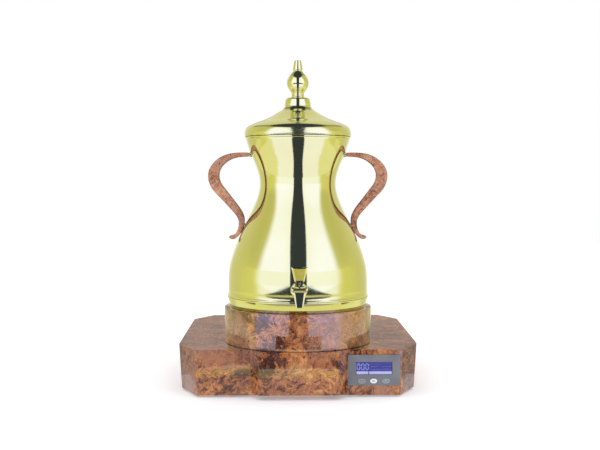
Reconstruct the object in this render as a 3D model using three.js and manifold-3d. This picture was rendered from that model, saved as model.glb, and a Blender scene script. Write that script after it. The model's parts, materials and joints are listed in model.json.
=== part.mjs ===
import * as THREE from "three";
import { mergeVertices } from "three/addons/utils/BufferGeometryUtils.js";
import Module from "manifold-3d";

// An electric Arabic-coffee dispenser in the shape of a dallah: a waisted gold tank with a lift-off
// lid, a tap and two handles, on a drum pedestal and an octagonal base that holds the electronics.
//
// Lengths are millimetres, +Z is up and the tap faces -Y. The pieces are laid out about the tank's
// axis (x = 0, y = 0) with the floor at z = 0. The root group then slides along Y, so that the
// origin lies under the middle of the whole machine.

// ---- Driving dimensions ----

const GAP = 0.3; // left between two pieces that touch

// Base: an octagon in plan, whose sides lean in a little towards the floor
const BASE_HALF_WIDTH = 230;
const BASE_FRONT_HALF_WIDTH = 194.5;
const BASE_BACK_HALF_WIDTH = 190;
const BASE_FRONT_Y = -114;
const BASE_BACK_Y = 362;
const BASE_FRONT_CHAMFER = 74; // how far back the front corners run
const BASE_BACK_CHAMFER = 66;
const BASE_LEAN = 5; // how much narrower each side is at the bottom edge
const BASE_BOTTOM = 4;
const BASE_TOP = 89.6;
const BASE_WALL = 9;
const BULGE_HALF_WIDTH = 74;
const BULGE_ROOT_HALF_WIDTH = 90;
const BULGE_BOTTOM = 9.7;
const PLATE_BOTTOM = 5;
const PLATE_THICKNESS = 2;
const FOOT_RADIUS = 12;
const FOOT_X = 120;
const FOOT_FRONT_Y = -85;
const FOOT_BACK_Y = 325;
const FOOT_BLOCK_TOP = 24;

// Pedestal drum under the tank
const DRUM_RADIUS = 144;
const DRUM_WALL = 10;
const DRUM_TOP = 158.5;
const DRUM_TOP_THICKNESS = 8;
const DRUM_TOP_HOLE = 96;
const TIE_ROD_CIRCLE = 124;
const TIE_ROD_RADIUS = 2.5;
const WIRE_HOLE_Y = 60;
const WIRE_HOLE_RADIUS = 20;

// Tank
const TANK_SEGMENTS = 24;
const SKIRT_BOTTOM = DRUM_TOP + GAP;
const SEAM_Z = 179.2; // bead between the skirt and the tank's shell
const BEAD_RADIUS = 138.2;
const SHELL_WALL = 1.6;
const LINER_INSET = 9; // from the tank's outer surface to the liner's
const LINER_WALL = 1.2;
const LINER_BOTTOM = 185;
const INSULATION_INSET = 3;
const INSULATION_THICKNESS = 5;
const RIM_Z = 489.9; // top of the shell's turned-in lip
const LIP_RADIUS = 94.6;
const FLANGE_RADIUS = 100;

// Points of the tank's outer contour, [radius, height], joined by a smooth curve
const TANK_CONTOUR = [
  [136.3, 187],
  [136.6, 209],
  [130.8, 251],
  [117.6, 288],
  [91.2, 343],
  [77.5, 377],
  [74.3, 397],
  [80.0, 427.5],
  [94.2, 460],
  [100.6, 480],
  [102.3, 487.5],
];
const CONTOUR_STEPS = 11;

// Tap
const TAP_Y = -195; // the valve stem's axis
const SHANK_Z = 203;
const SHANK_RADIUS = 8;
const SHANK_BORE = 4.5;
const SPOUT_BOTTOM = 179;
const TAP_BODY_TOP = 214;
const CHAMBER_RADIUS = 7.5;
const CHAMBER_FLOOR = 194;
const LEVER_PIN_Z = 221.5;
const LEVER_TOP = 251.5;
const TAP_BODY_DEPTH = 26;

// Handles: the strap's centre line on the +X side, [x, height, thickness in the strap's plane]
const HANDLE_COURSE = [
  [95.8, 455.2, 8],
  [110, 455, 8.3],
  [125, 453.4, 10],
  [139.5, 448.4, 13.5],
  [151.6, 440.2, 17],
  [160.2, 430, 20],
  [164.4, 417.5, 22],
  [163.2, 404, 21.5],
  [157.5, 392, 20],
  [148.5, 381, 18.3],
  [127.4, 356, 15.5],
  [116.4, 342, 14],
  [110.9, 330.5, 12.8],
  [110.3, 319, 11.5],
  [114.3, 308, 9.4],
  [119, 299, 7.5],
  [124.2, 294.2, 7.8],
  [130, 293.2, 9.4],
  [134.5, 294.6, 7],
];
const HANDLE_STEPS = 24;
const HANDLE_SIDES = 8;
const FERRULE_RADIUS = 5;
const HANDLE_TOP_Z = 455.2;
const HANDLE_CONTACT_Z = 318.5;

// Lid
const LID_BOTTOM = RIM_Z + 0.4;
const LID_WALL = 1.5;
const LID_TOP = 545.2;
const COLLAR_TOP = 567;
const FINIAL_TOP = 638.4;
const STUD_RADIUS = 3;
const PLUG_BOTTOM = 483.5;
const PLUG_RADIUS = 87;

// Control panel on the right of the base's front face
const PANEL_CENTRE_X = 140.8;
const PANEL_CENTRE_Z = 51.2;
const PANEL_WIDTH = 98;
const PANEL_HEIGHT = 57.6;
const PANEL_OVERLAP = 1.2; // bezel past the cut-out on each side
const PANEL_FRAME_WALL = 1;
const LCD_WIDTH = 68;
const LCD_HEIGHT = 23.7;
const LCD_OFFSET_Z = 3.4;
const BUTTON_OFFSET_Z = -20.4;
const BUTTONS = { left: -23.1, middle: -1, right: 22.1 };
const BUTTON_WIDTH = 14;
const BUTTON_HEIGHT = 9;
const BUTTON_TRAVEL = 1;

// Mains inlet and power switch in the base's back face
const SOCKET_Z = 45;
const INLET_X = 120;
const INLET_WIDTH = 31;
const INLET_HEIGHT = 25;
const SWITCH_X = 60;
const SWITCH_WIDTH = 19;
const SWITCH_HEIGHT = 27;
const BACK_FLANGE = 2;
const ROCKER_TILT = THREE.MathUtils.degToRad(10);

// ---- Finishes ----

const GOLD = { color: 0xd9d070, roughness: 0.12, metalness: 1 };
const BURL = { color: 0xa9683a, roughness: 0.25, metalness: 0 };
const HANDLE_BURL = { color: 0xb4704a, roughness: 0.35, metalness: 0 };
const STEEL = { color: 0xb9bcc0, roughness: 0.3, metalness: 1 };
const ALUMINIUM = { color: 0xc6c9cc, roughness: 0.4, metalness: 1 };
const RUBBER = { color: 0x1c1c1e, roughness: 0.85, metalness: 0 };
const SILICONE = { color: 0xd8d8d2, roughness: 0.6, metalness: 0 };
const WOOL = { color: 0xd9d2bb, roughness: 1, metalness: 0 };
const GREY_PLASTIC = { color: 0x7c8088, roughness: 0.4, metalness: 0 };
const BLACK_PLASTIC = { color: 0x202124, roughness: 0.45, metalness: 0 };
const WHITE_PLASTIC = { color: 0xe6e6e8, roughness: 0.4, metalness: 0 };
const LCD_BLUE = { color: 0x2e2ea6, roughness: 0.2, metalness: 0 };
const GLASS = { color: 0xdfe6f2, roughness: 0.05, metalness: 0, opacity: 0.35, transparent: true };
const BOARD = { color: 0x1f6b3a, roughness: 0.5, metalness: 0 };

// ---- Geometry helpers ----

const wasm = await Module();
wasm.setup();

function toSolid(geometry) {
  const bare = geometry.clone();
  bare.deleteAttribute("normal");
  bare.deleteAttribute("uv");
  const merged = mergeVertices(bare, 1e-3);
  return new wasm.Manifold(
    new wasm.Mesh({
      numProp: 3,
      vertProperties: merged.attributes.position.array,
      triVerts: new Uint32Array(merged.index.array),
    }),
  );
}

function fromSolid(solid) {
  const mesh = solid.getMesh();
  const geometry = new THREE.BufferGeometry();
  geometry.setAttribute("position", new THREE.BufferAttribute(mesh.vertProperties, 3));
  geometry.setIndex(new THREE.BufferAttribute(mesh.triVerts, 1));
  geometry.computeVertexNormals();
  return geometry;
}

function join(first, ...others) {
  return fromSolid(others.reduce((sum, other) => sum.add(toSolid(other)), toSolid(first)));
}

function cut(body, ...tools) {
  return fromSolid(tools.reduce((rest, tool) => rest.subtract(toSolid(tool)), toSolid(body)));
}

// A solid of revolution about Z. The profile is [radius, height] points: it starts and ends on the
// axis, or it is a ring's section, which is closed here.
function revolve(profile, segments = TANK_SEGMENTS) {
  let doubleArea = 0;
  profile.forEach(([r, z], i) => {
    const [nextR, nextZ] = profile[(i + 1) % profile.length];
    doubleArea += r * nextZ - nextR * z;
  });
  const points = profile.map(([r, z]) => new THREE.Vector2(r, z));
  if (doubleArea < 0) points.reverse();
  if (points.every((point) => point.x > 0)) points.push(points[0].clone());
  return new THREE.LatheGeometry(points, segments).rotateX(Math.PI / 2);
}

// A closed skin over rings of equally many points, with its first and last ring capped. Each ring
// runs anticlockwise as seen from the last ring's side.
function loft(rings) {
  const sides = rings[0].length;
  const last = (rings.length - 1) * sides;
  const index = [];
  for (let ring = 0; ring < last; ring += sides)
    for (let side = 0; side < sides; side++) {
      const next = (side + 1) % sides;
      index.push(ring + side, ring + next, ring + sides + next);
      index.push(ring + side, ring + sides + next, ring + sides + side);
    }
  for (let side = 1; side + 1 < sides; side++) {
    index.push(0, side + 1, side);
    index.push(last, last + side, last + side + 1);
  }
  const geometry = new THREE.BufferGeometry();
  const numbers = rings.flat().flatMap((point) => [point.x, point.y, point.z]);
  geometry.setAttribute("position", new THREE.Float32BufferAttribute(numbers, 3));
  geometry.setIndex(index);
  return geometry;
}

// An upright prism over an outline of [x, y] points.
function prism(outline, bottom, top) {
  const shape = new THREE.Shape(outline.map(([x, y]) => new THREE.Vector2(x, y)));
  const geometry = new THREE.ExtrudeGeometry(shape, { depth: top - bottom, bevelEnabled: false });
  return geometry.translate(0, 0, bottom);
}

function block(width, depth, height, x, y, z) {
  return new THREE.BoxGeometry(width, depth, height).translate(x, y, z);
}

// A round bar between two points.
function bar(from, to, radius, sides = 12) {
  const along = to.clone().sub(from);
  const geometry = new THREE.CylinderGeometry(radius, radius, along.length(), sides);
  const turn = new THREE.Quaternion().setFromUnitVectors(
    new THREE.Vector3(0, 1, 0),
    along.clone().normalize(),
  );
  const middle = from.clone().addScaledVector(along, 0.5);
  return geometry.applyQuaternion(turn).translate(middle.x, middle.y, middle.z);
}

function post(x, y, bottom, top, radius, sides = 12) {
  return bar(new THREE.Vector3(x, y, bottom), new THREE.Vector3(x, y, top), radius, sides);
}

// A round tube's solid along a curve, with flat ends.
function tube(curve, radius, sides, steps) {
  const section = new THREE.Shape();
  for (let side = 0; side < sides; side++) {
    const angle = (2 * Math.PI * side) / sides;
    const point = [radius * Math.cos(angle), radius * Math.sin(angle)];
    if (side) section.lineTo(...point);
    else section.moveTo(...point);
  }
  section.closePath();
  return new THREE.ExtrudeGeometry(section, { extrudePath: curve, steps, bevelEnabled: false });
}

// A flat ring of points in a level plane: a rectangle with cut corners.
function cutRectangle(width, depth, corner, z) {
  const [x, y] = [width / 2, depth / 2];
  return [
    [corner - x, -y],
    [x - corner, -y],
    [x, corner - y],
    [x, y - corner],
    [x - corner, y],
    [corner - x, y],
    [-x, y - corner],
    [-x, corner - y],
  ].map(([px, py]) => new THREE.Vector3(px, py, z));
}

// An oval disc that faces the front, between two depths.
function oval(width, height, front, back, x, z, sides = 16) {
  const ringAt = (y) =>
    Array.from({ length: sides }, (_, side) => {
      const angle = (2 * Math.PI * side) / sides;
      return new THREE.Vector3(
        x + (width / 2) * Math.cos(angle),
        y,
        z + (height / 2) * Math.sin(angle),
      );
    });
  return loft([ringAt(back), ringAt(front)]);
}

// ---- Scene ----

const machine = new THREE.Group();

function part(name, geometry, finish, parent = machine) {
  const mesh = new THREE.Mesh(geometry, new THREE.MeshStandardMaterial(finish));
  mesh.name = name;
  parent.add(mesh);
  return mesh;
}

// ---- Base ----

// The octagon at a height, its walls moved in by an inset: every edge shifts square to itself.
function baseRing(z, inset) {
  const narrowing = (BASE_LEAN * (BASE_TOP - z)) / (BASE_TOP - BASE_BOTTOM);
  const corners = [
    [BASE_FRONT_HALF_WIDTH, BASE_FRONT_Y],
    [BASE_HALF_WIDTH, BASE_FRONT_Y + BASE_FRONT_CHAMFER],
    [BASE_HALF_WIDTH, BASE_BACK_Y - BASE_BACK_CHAMFER],
    [BASE_BACK_HALF_WIDTH, BASE_BACK_Y],
  ].map(([x, y]) => [x - narrowing, y]);
  const outline = [...corners, ...corners.map(([x, y]) => [-x, y]).reverse()];
  const edges = outline.map(([x, y], i) => {
    const [nextX, nextY] = outline[(i + 1) % outline.length];
    const length = Math.hypot(nextX - x, nextY - y);
    const normal = [(nextY - y) / length, (x - nextX) / length];
    return { normal, reach: x * normal[0] + y * normal[1] - inset };
  });
  return outline.map((_, i) => {
    const { normal: a, reach: p } = edges[(i + outline.length - 1) % outline.length];
    const { normal: b, reach: q } = edges[i];
    const det = a[0] * b[1] - a[1] * b[0];
    return new THREE.Vector3((p * b[1] - q * a[1]) / det, (q * a[0] - p * b[0]) / det, z);
  });
}

const tieRodSpots = [90, 210, 330].map((degrees) => {
  const angle = THREE.MathUtils.degToRad(degrees);
  return [TIE_ROD_CIRCLE * Math.cos(angle), TIE_ROD_CIRCLE * Math.sin(angle)];
});
const footSpots = {
  front_left: [-FOOT_X, FOOT_FRONT_Y],
  front_right: [FOOT_X, FOOT_FRONT_Y],
  back_left: [-FOOT_X, FOOT_BACK_Y],
  back_right: [FOOT_X, FOOT_BACK_Y],
};
const wallInnerFront = BASE_FRONT_Y + BASE_WALL;
const wallInnerBack = BASE_BACK_Y - BASE_WALL;

function baseHousing() {
  const ceiling = BASE_TOP - BASE_WALL;
  const outside = loft([baseRing(BASE_BOTTOM, 0), baseRing(BASE_TOP, 0)]);
  const bulge = prism(
    [
      [-BULGE_HALF_WIDTH, -DRUM_RADIUS],
      [BULGE_HALF_WIDTH, -DRUM_RADIUS],
      [BULGE_ROOT_HALF_WIDTH, BASE_FRONT_Y],
      [BULGE_ROOT_HALF_WIDTH, BASE_FRONT_Y + 2],
      [-BULGE_ROOT_HALF_WIDTH, BASE_FRONT_Y + 2],
      [-BULGE_ROOT_HALF_WIDTH, BASE_FRONT_Y],
    ],
    BULGE_BOTTOM,
    BASE_TOP,
  );
  const inside = loft([baseRing(BASE_BOTTOM - 1, BASE_WALL), baseRing(ceiling, BASE_WALL)]);
  const blocks = [];
  const holes = [];
  for (const [x, y] of Object.values(footSpots)) {
    const wall = y < 0 ? wallInnerFront - 1 : wallInnerBack + 1;
    const inner = y < 0 ? y + 15 : y - 15;
    const blockBottom = PLATE_BOTTOM + PLATE_THICKNESS + GAP;
    const height = FOOT_BLOCK_TOP - blockBottom;
    const middleZ = blockBottom + height / 2;
    blocks.push(block(26, Math.abs(inner - wall), height, x, (inner + wall) / 2, middleZ));
    holes.push(post(x, y, BASE_BOTTOM, FOOT_BLOCK_TOP - 2, 2.2, 12));
  }
  for (const [x, y] of tieRodSpots) {
    blocks.push(post(x, y, ceiling - 20, ceiling + 1, 9, 12));
    holes.push(post(x, y, ceiling - 16, BASE_TOP + 1, TIE_ROD_RADIUS + GAP, 12));
  }
  const panelHole = block(
    PANEL_WIDTH - 2 * PANEL_OVERLAP,
    BASE_WALL + 4,
    PANEL_HEIGHT - 2 * PANEL_OVERLAP,
    PANEL_CENTRE_X,
    BASE_FRONT_Y + BASE_WALL / 2,
    PANEL_CENTRE_Z,
  );
  const backHole = (x, width, height) =>
    block(width, BASE_WALL + 4, height, x, BASE_BACK_Y - BASE_WALL / 2, SOCKET_Z);
  const wireHole = post(0, WIRE_HOLE_Y, ceiling - 1, BASE_TOP + 1, WIRE_HOLE_RADIUS, 16);
  const shell = cut(join(outside, bulge), inside);
  return cut(
    join(shell, ...blocks),
    ...holes,
    panelHole,
    backHole(INLET_X, INLET_WIDTH - 4, INLET_HEIGHT - 4),
    backHole(SWITCH_X, SWITCH_WIDTH - 3, SWITCH_HEIGHT - 3),
    wireHole,
  );
}

function bottomPlate() {
  const edge = BASE_WALL + GAP + 0.2;
  const top = PLATE_BOTTOM + PLATE_THICKNESS;
  const sheet = loft([baseRing(PLATE_BOTTOM, edge), baseRing(top, edge)]);
  const holes = Object.values(footSpots).map(([x, y]) => post(x, y, 0, top + 1, 2.3, 12));
  return cut(sheet, ...holes);
}

part("base_housing", baseHousing(), BURL);
part("base_bottom_plate", bottomPlate(), STEEL);

const footTop = PLATE_BOTTOM - GAP;
const counterbore = { radius: 5, top: 2.9 };
for (const [place, [x, y]] of Object.entries(footSpots)) {
  const foot = revolve(
    [
      [counterbore.radius, 0],
      [FOOT_RADIUS - 1.2, 0],
      [FOOT_RADIUS, 1.2],
      [FOOT_RADIUS, footTop],
      [2.3, footTop],
      [2.3, counterbore.top],
      [counterbore.radius, counterbore.top],
    ],
    12,
  );
  part("foot_" + place, foot, RUBBER).position.set(x, y, 0);
  const screw = revolve(
    [
      [0, 0.9],
      [3.2, 0.9],
      [4.3, 1.8],
      [4.3, counterbore.top - GAP],
      [1.8, counterbore.top - GAP],
      [1.8, 19],
      [0, 20.5],
    ],
    10,
  );
  part("foot_screw_" + place, screw, STEEL).position.set(x, y, 0);
}

// ---- Pedestal ----

function pedestalDrum() {
  const bottom = BASE_TOP + GAP;
  const inner = DRUM_RADIUS - DRUM_WALL;
  const ceiling = DRUM_TOP - DRUM_TOP_THICKNESS;
  const ring = revolve(
    [
      [inner, bottom],
      [DRUM_RADIUS, bottom],
      [DRUM_RADIUS, DRUM_TOP - 1.5],
      [DRUM_RADIUS - 1.5, DRUM_TOP],
      [DRUM_TOP_HOLE, DRUM_TOP],
      [DRUM_TOP_HOLE, ceiling],
      [inner, ceiling],
    ],
    36,
  );
  const holes = tieRodSpots.map(([x, y]) =>
    post(x, y, ceiling - 1, DRUM_TOP + 1, TIE_ROD_RADIUS + GAP, 12),
  );
  return cut(ring, ...holes);
}

part("pedestal_drum", pedestalDrum(), BURL);

const grommetRim = WIRE_HOLE_RADIUS + 4;
const grommetWaist = WIRE_HOLE_RADIUS - 0.5;
const grommetTop = BASE_TOP + GAP + 1.8;
const grommetBottom = BASE_TOP - BASE_WALL - GAP - 1.8;
const grommet = revolve(
  [
    [14, grommetBottom],
    [grommetRim, grommetBottom],
    [grommetRim, grommetBottom + 1.8],
    [grommetWaist, grommetBottom + 1.8],
    [grommetWaist, grommetTop - 1.8],
    [grommetRim, grommetTop - 1.8],
    [grommetRim, grommetTop],
    [14, grommetTop],
  ],
  16,
);
part("wire_grommet", grommet, RUBBER).position.y = WIRE_HOLE_Y;

// ---- Tank ----

const contour = new THREE.SplineCurve(TANK_CONTOUR.map(([r, z]) => new THREE.Vector2(r, z)));

// The tank's contour moved in, square to itself, as [radius, height] points from bottom to top.
function insetContour(inset, bottom = 0, top = Infinity) {
  const points = [];
  for (let step = 0; step <= CONTOUR_STEPS; step++) {
    const { x: r, y: z } = contour.getPoint(step / CONTOUR_STEPS);
    const tangent = contour.getTangent(step / CONTOUR_STEPS);
    const moved = [r - inset * tangent.y, z + inset * tangent.x];
    if (moved[1] > bottom && moved[1] < top) points.push(moved);
  }
  return points;
}

// The tank's whole outside, used to shape what stands against it.
const tankOutside = revolve([
  [0, SEAM_Z],
  [BEAD_RADIUS, SEAM_Z],
  ...insetContour(-GAP),
  [0, RIM_Z],
]);

// Where the tank's surface is at a height, and which way it faces there, in the XZ plane.
function surfaceAt(height) {
  let [low, high] = [0, 1];
  for (let round = 0; round < 30; round++) {
    const middle = (low + high) / 2;
    if (contour.getPoint(middle).y < height) low = middle;
    else high = middle;
  }
  const point = contour.getPoint(low);
  const tangent = contour.getTangent(low);
  return {
    point: new THREE.Vector3(point.x, 0, point.y),
    outward: new THREE.Vector3(tangent.y, 0, -tangent.x),
  };
}

const handleContact = surfaceAt(HANDLE_CONTACT_Z);

// The stud that holds a handle's lower end, along the surface's normal; side is -1 or 1.
function lowerStudBar(side, inner, outer, radius) {
  const ends = [inner, outer].map((distance) =>
    handleContact.point.clone().addScaledVector(handleContact.outward, distance),
  );
  for (const end of ends) end.x *= side;
  return bar(ends[0], ends[1], radius, 12);
}

// The tapped rod of a handle's ferrule, level through the tank's wall.
function upperStudBar(side, inner, outer, radius) {
  const at = (x) => new THREE.Vector3(side * x, 0, HANDLE_TOP_Z);
  return bar(at(inner), at(outer), radius, 12);
}

function shankBar(front, back, radius, sides = 16) {
  return bar(new THREE.Vector3(0, front, SHANK_Z), new THREE.Vector3(0, back, SHANK_Z), radius, sides);
}

// Everything that goes through the tank's walls, each hole a little wider than what it holds.
function wallHoles(clearance) {
  return [
    shankBar(-150, -100, SHANK_RADIUS + clearance),
    ...[-1, 1].flatMap((side) => [
      lowerStudBar(side, -12, 4, 2 + clearance),
      upperStudBar(side, 80, 100, 2 + clearance),
    ]),
  ];
}

const skirtFloor = SKIRT_BOTTOM + 2.2;
const skirt = revolve([
  [TIE_ROD_CIRCLE - 7, SKIRT_BOTTOM],
  [133.2, SKIRT_BOTTOM],
  [134.9, 166],
  [136.8, 174],
  [BEAD_RADIUS, 178],
  [BEAD_RADIUS, SEAM_Z],
  [BEAD_RADIUS - 2.4, SEAM_Z],
  [135, 174],
  [133.1, 166],
  [131.6, skirtFloor],
  [TIE_ROD_CIRCLE - 7, skirtFloor],
]);
const skirtHoles = tieRodSpots.map(([x, y]) =>
  post(x, y, SKIRT_BOTTOM - 1, skirtFloor + 1, TIE_ROD_RADIUS + GAP, 12),
);
part("tank_skirt", cut(skirt, ...skirtHoles), GOLD);

tieRodSpots.forEach(([x, y], i) => {
  const headBottom = skirtFloor + GAP;
  const rod = revolve(
    [
      [0, BASE_TOP - BASE_WALL - 14],
      [TIE_ROD_RADIUS, BASE_TOP - BASE_WALL - 14],
      [TIE_ROD_RADIUS, headBottom],
      [5, headBottom],
      [5, headBottom + 3.5],
      [0, headBottom + 3.5],
    ],
    12,
  );
  part("tie_rod_" + (i + 1), rod, STEEL).position.set(x, y, 0);
});

const shellBottom = SEAM_Z + GAP;
const shell = revolve([
  [112, shellBottom],
  [BEAD_RADIUS, shellBottom],
  [BEAD_RADIUS, shellBottom + 1.5],
  ...insetContour(0),
  [102.9, RIM_Z - 1.7],
  [102.9, RIM_Z],
  [LIP_RADIUS, RIM_Z],
  [LIP_RADIUS, RIM_Z - 1.5],
  ...insetContour(SHELL_WALL, 0, RIM_Z - 1.5).reverse(),
  [134.2, shellBottom + 1.6],
  [112, shellBottom + 1.6],
]);
part("tank_outer_shell", cut(shell, ...wallHoles(0.4)), GOLD);

const jacketOuter = insetContour(INSULATION_INSET, 215, 445);
const jacketInner = insetContour(INSULATION_INSET + INSULATION_THICKNESS, 215, 445);
const jacket = revolve([...jacketOuter, ...jacketInner.reverse()]);
const studPockets = [-1, 1].map((side) => lowerStudBar(side, -12, 0, 6));
part("insulation_jacket", cut(jacket, ...studPockets), WOOL);

function tankLiner() {
  const floor = LINER_BOTTOM + LINER_WALL;
  const flangeBottom = RIM_Z + GAP;
  const flangeTop = flangeBottom + 1.2;
  const vessel = revolve([
    [0, LINER_BOTTOM],
    [119, LINER_BOTTOM],
    ...insetContour(LINER_INSET, LINER_BOTTOM, RIM_Z - 1),
    [LIP_RADIUS - 1, flangeBottom],
    [FLANGE_RADIUS, flangeBottom],
    [FLANGE_RADIUS, flangeTop],
    [LIP_RADIUS - 2.2, flangeTop],
    ...insetContour(LINER_INSET + LINER_WALL, LINER_BOTTOM, RIM_Z - 1).reverse(),
    [118.4, floor],
    [0, floor],
  ]);
  const stud = post(0, 0, LINER_BOTTOM - 23, LINER_BOTTOM + 0.5, STUD_RADIUS, 12);
  return cut(join(vessel, stud), shankBar(-150, -100, SHANK_RADIUS + 0.4));
}

part("tank_liner", tankLiner(), STEEL);

// ---- Heater, clamped under the liner's floor ----

const heaterTop = LINER_BOTTOM - GAP;
const heaterBottom = heaterTop - 4.7;
const elementRadius = 4;
const elementZ = heaterBottom - GAP - elementRadius;
const clampTop = elementZ - elementRadius - GAP;
const studHole = STUD_RADIUS + 0.4;

const heaterPlate = revolve([
  [studHole, heaterBottom],
  [69, heaterBottom],
  [70, heaterTop],
  [studHole, heaterTop],
]);
part("heater_plate", heaterPlate, ALUMINIUM);

class HorseshoeCurve extends THREE.Curve {
  getPoint(t, target = new THREE.Vector3()) {
    const angle = THREE.MathUtils.degToRad(110 + 320 * t);
    return target.set(46 * Math.cos(angle), 46 * Math.sin(angle), elementZ);
  }
}
part("heating_element", tube(new HorseshoeCurve(), elementRadius, 8, 18), STEEL);

const clamp = revolve([
  [studHole, clampTop - 2],
  [54, clampTop - 2],
  [54, clampTop],
  [studHole, clampTop],
]);
part("heater_clamp", clamp, STEEL);

const clampNut = cut(
  post(0, 0, clampTop - 7.3, clampTop - 2.3, 6, 6),
  post(0, 0, clampTop - 8, clampTop, studHole, 12),
);
part("heater_nut", clampNut, STEEL);

const probeBottom = clampTop + GAP;
const probeTop = heaterBottom - GAP;
part("temperature_probe", post(22, 0, probeBottom, probeTop, 3, 12), STEEL);
part("thermal_cutout", post(-22, 8, probeBottom, probeTop, 8, 16), BLACK_PLASTIC);

const cableRoute = new THREE.CatmullRomCurve3([
  new THREE.Vector3(0, 63, heaterBottom - 0.6),
  new THREE.Vector3(0, 63, 168),
  new THREE.Vector3(0, 64, 150),
  new THREE.Vector3(2, 66, 125),
  new THREE.Vector3(0, 60, 100),
  new THREE.Vector3(0, 60, 75),
  new THREE.Vector3(10, 80, 50),
  new THREE.Vector3(30, 120, 34),
  new THREE.Vector3(52, 165, 26),
  new THREE.Vector3(72, 195, 23),
]);
part("heater_cable", tube(cableRoute, 3, 8, 20), RUBBER);

// ---- Tap ----

const tap = new THREE.Group();
tap.position.y = TAP_Y;
machine.add(tap);

// The tap's body narrows downwards to the spout; its chamber holds the valve cup.
function tapBody() {
  const body = loft([
    cutRectangle(13, 12, 2.6, SPOUT_BOTTOM),
    cutRectangle(24, 21, 5, TAP_BODY_TOP - 12),
    cutRectangle(30.6, TAP_BODY_DEPTH, 6.5, TAP_BODY_TOP),
  ]);
  const socketFront = 8;
  const socketBack = 26;
  const socket = bar(
    new THREE.Vector3(0, socketFront, SHANK_Z),
    new THREE.Vector3(0, socketBack, SHANK_Z),
    10.9,
    24,
  );
  return cut(
    join(body, socket),
    post(0, 0, CHAMBER_FLOOR, TAP_BODY_TOP + 1, CHAMBER_RADIUS, 20),
    post(0, 0, SPOUT_BOTTOM - 1, CHAMBER_FLOOR + 1, 4, 16),
    shankBar(0, socketBack + 1, SHANK_BORE, 16),
    shankBar(14, socketBack + 1, SHANK_RADIUS + GAP),
  );
}

part("tap_body", tapBody(), GOLD, tap);

const stemHole = 2.2;
const bonnetTop = LEVER_PIN_Z - 3.8;
const bonnet = revolve(
  [
    [stemHole, TAP_BODY_TOP - 4.7],
    [CHAMBER_RADIUS - 0.4, TAP_BODY_TOP - 4.7],
    [CHAMBER_RADIUS - 0.4, TAP_BODY_TOP + GAP],
    [10.5, TAP_BODY_TOP + GAP],
    [10.5, bonnetTop - 1.6],
    [8.5, bonnetTop],
    [stemHole, bonnetTop],
  ],
  20,
);
part("tap_bonnet", bonnet, GOLD, tap);

// The stem hangs from the lever's pin and carries the valve cup.
const eyeRadius = 3;
const pinRadius = 1.3;
const stem = cut(
  join(
    post(0, 0, CHAMBER_FLOOR + 3.3, LEVER_PIN_Z, 1.7, 12),
    bar(
      new THREE.Vector3(-1.7, 0, LEVER_PIN_Z),
      new THREE.Vector3(1.7, 0, LEVER_PIN_Z),
      eyeRadius,
      20,
    ),
  ),
  bar(new THREE.Vector3(-4, 0, LEVER_PIN_Z), new THREE.Vector3(4, 0, LEVER_PIN_Z), 1.6, 12),
);
part("tap_stem", stem, STEEL, tap);

const cupBottom = CHAMBER_FLOOR + GAP;
const cup = revolve(
  [
    [0, cupBottom],
    [5, cupBottom],
    [6.2, cupBottom + 2],
    [6.2, cupBottom + 5],
    [2, cupBottom + 5],
    [2, cupBottom + 2.7],
    [0, cupBottom + 2.7],
  ],
  16,
);
part("tap_valve_cup", cup, SILICONE, tap);

const pinHalf = 6.4;
const pin = bar(
  new THREE.Vector3(-pinHalf, 0, LEVER_PIN_Z),
  new THREE.Vector3(pinHalf, 0, LEVER_PIN_Z),
  pinRadius,
  12,
);
part("tap_lever_pin", pin, STEEL, tap);

// A flared paddle over two cheeks that straddle the stem's eye.
function tapLever() {
  const paddleBottom = LEVER_PIN_Z + eyeRadius + 0.4;
  const paddle = loft([
    cutRectangle(17, 7, 1.6, paddleBottom),
    cutRectangle(18.6, 6.4, 1.6, paddleBottom + 2),
    cutRectangle(26.8, 4.6, 1.4, LEVER_TOP - 2.5),
    cutRectangle(24.2, 3.4, 1.1, LEVER_TOP),
  ]);
  const cheekBottom = LEVER_PIN_Z - 3.4;
  const cheekHeight = paddleBottom + 1.5 - cheekBottom;
  const cheeks = [-1, 1].map((side) =>
    block(3.6, 9.6, cheekHeight, side * 3.9, 0, cheekBottom + cheekHeight / 2),
  );
  const hole = bar(
    new THREE.Vector3(-8, 0, LEVER_PIN_Z),
    new THREE.Vector3(8, 0, LEVER_PIN_Z),
    1.6,
    12,
  );
  return cut(join(paddle, ...cheeks), hole);
}

part("tap_lever", tapLever(), GOLD, tap);

// The shank runs from the tap's socket through both walls of the tank.
const shankFront = TAP_Y + 14 + GAP;
const shankBack = -112;
const shank = cut(
  shankBar(shankFront, shankBack, SHANK_RADIUS),
  shankBar(shankFront - 1, shankBack + 1, SHANK_BORE, 16),
);
part("tap_shank", shank, GOLD);

function shankRing(front, back, radius, sides = 20) {
  return cut(
    shankBar(front, back, radius, sides),
    shankBar(front - 1, back + 1, SHANK_RADIUS + GAP),
  );
}

part("tap_flange", shankRing(-141.4, -137.2, 15.5), GOLD);
part("tap_seal", shankRing(-124.4, -122.4, 12), SILICONE);
part("tap_backnut", shankRing(-122.1, -116.1, 12.5, 6), STEEL);

// ---- Handles ----

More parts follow.
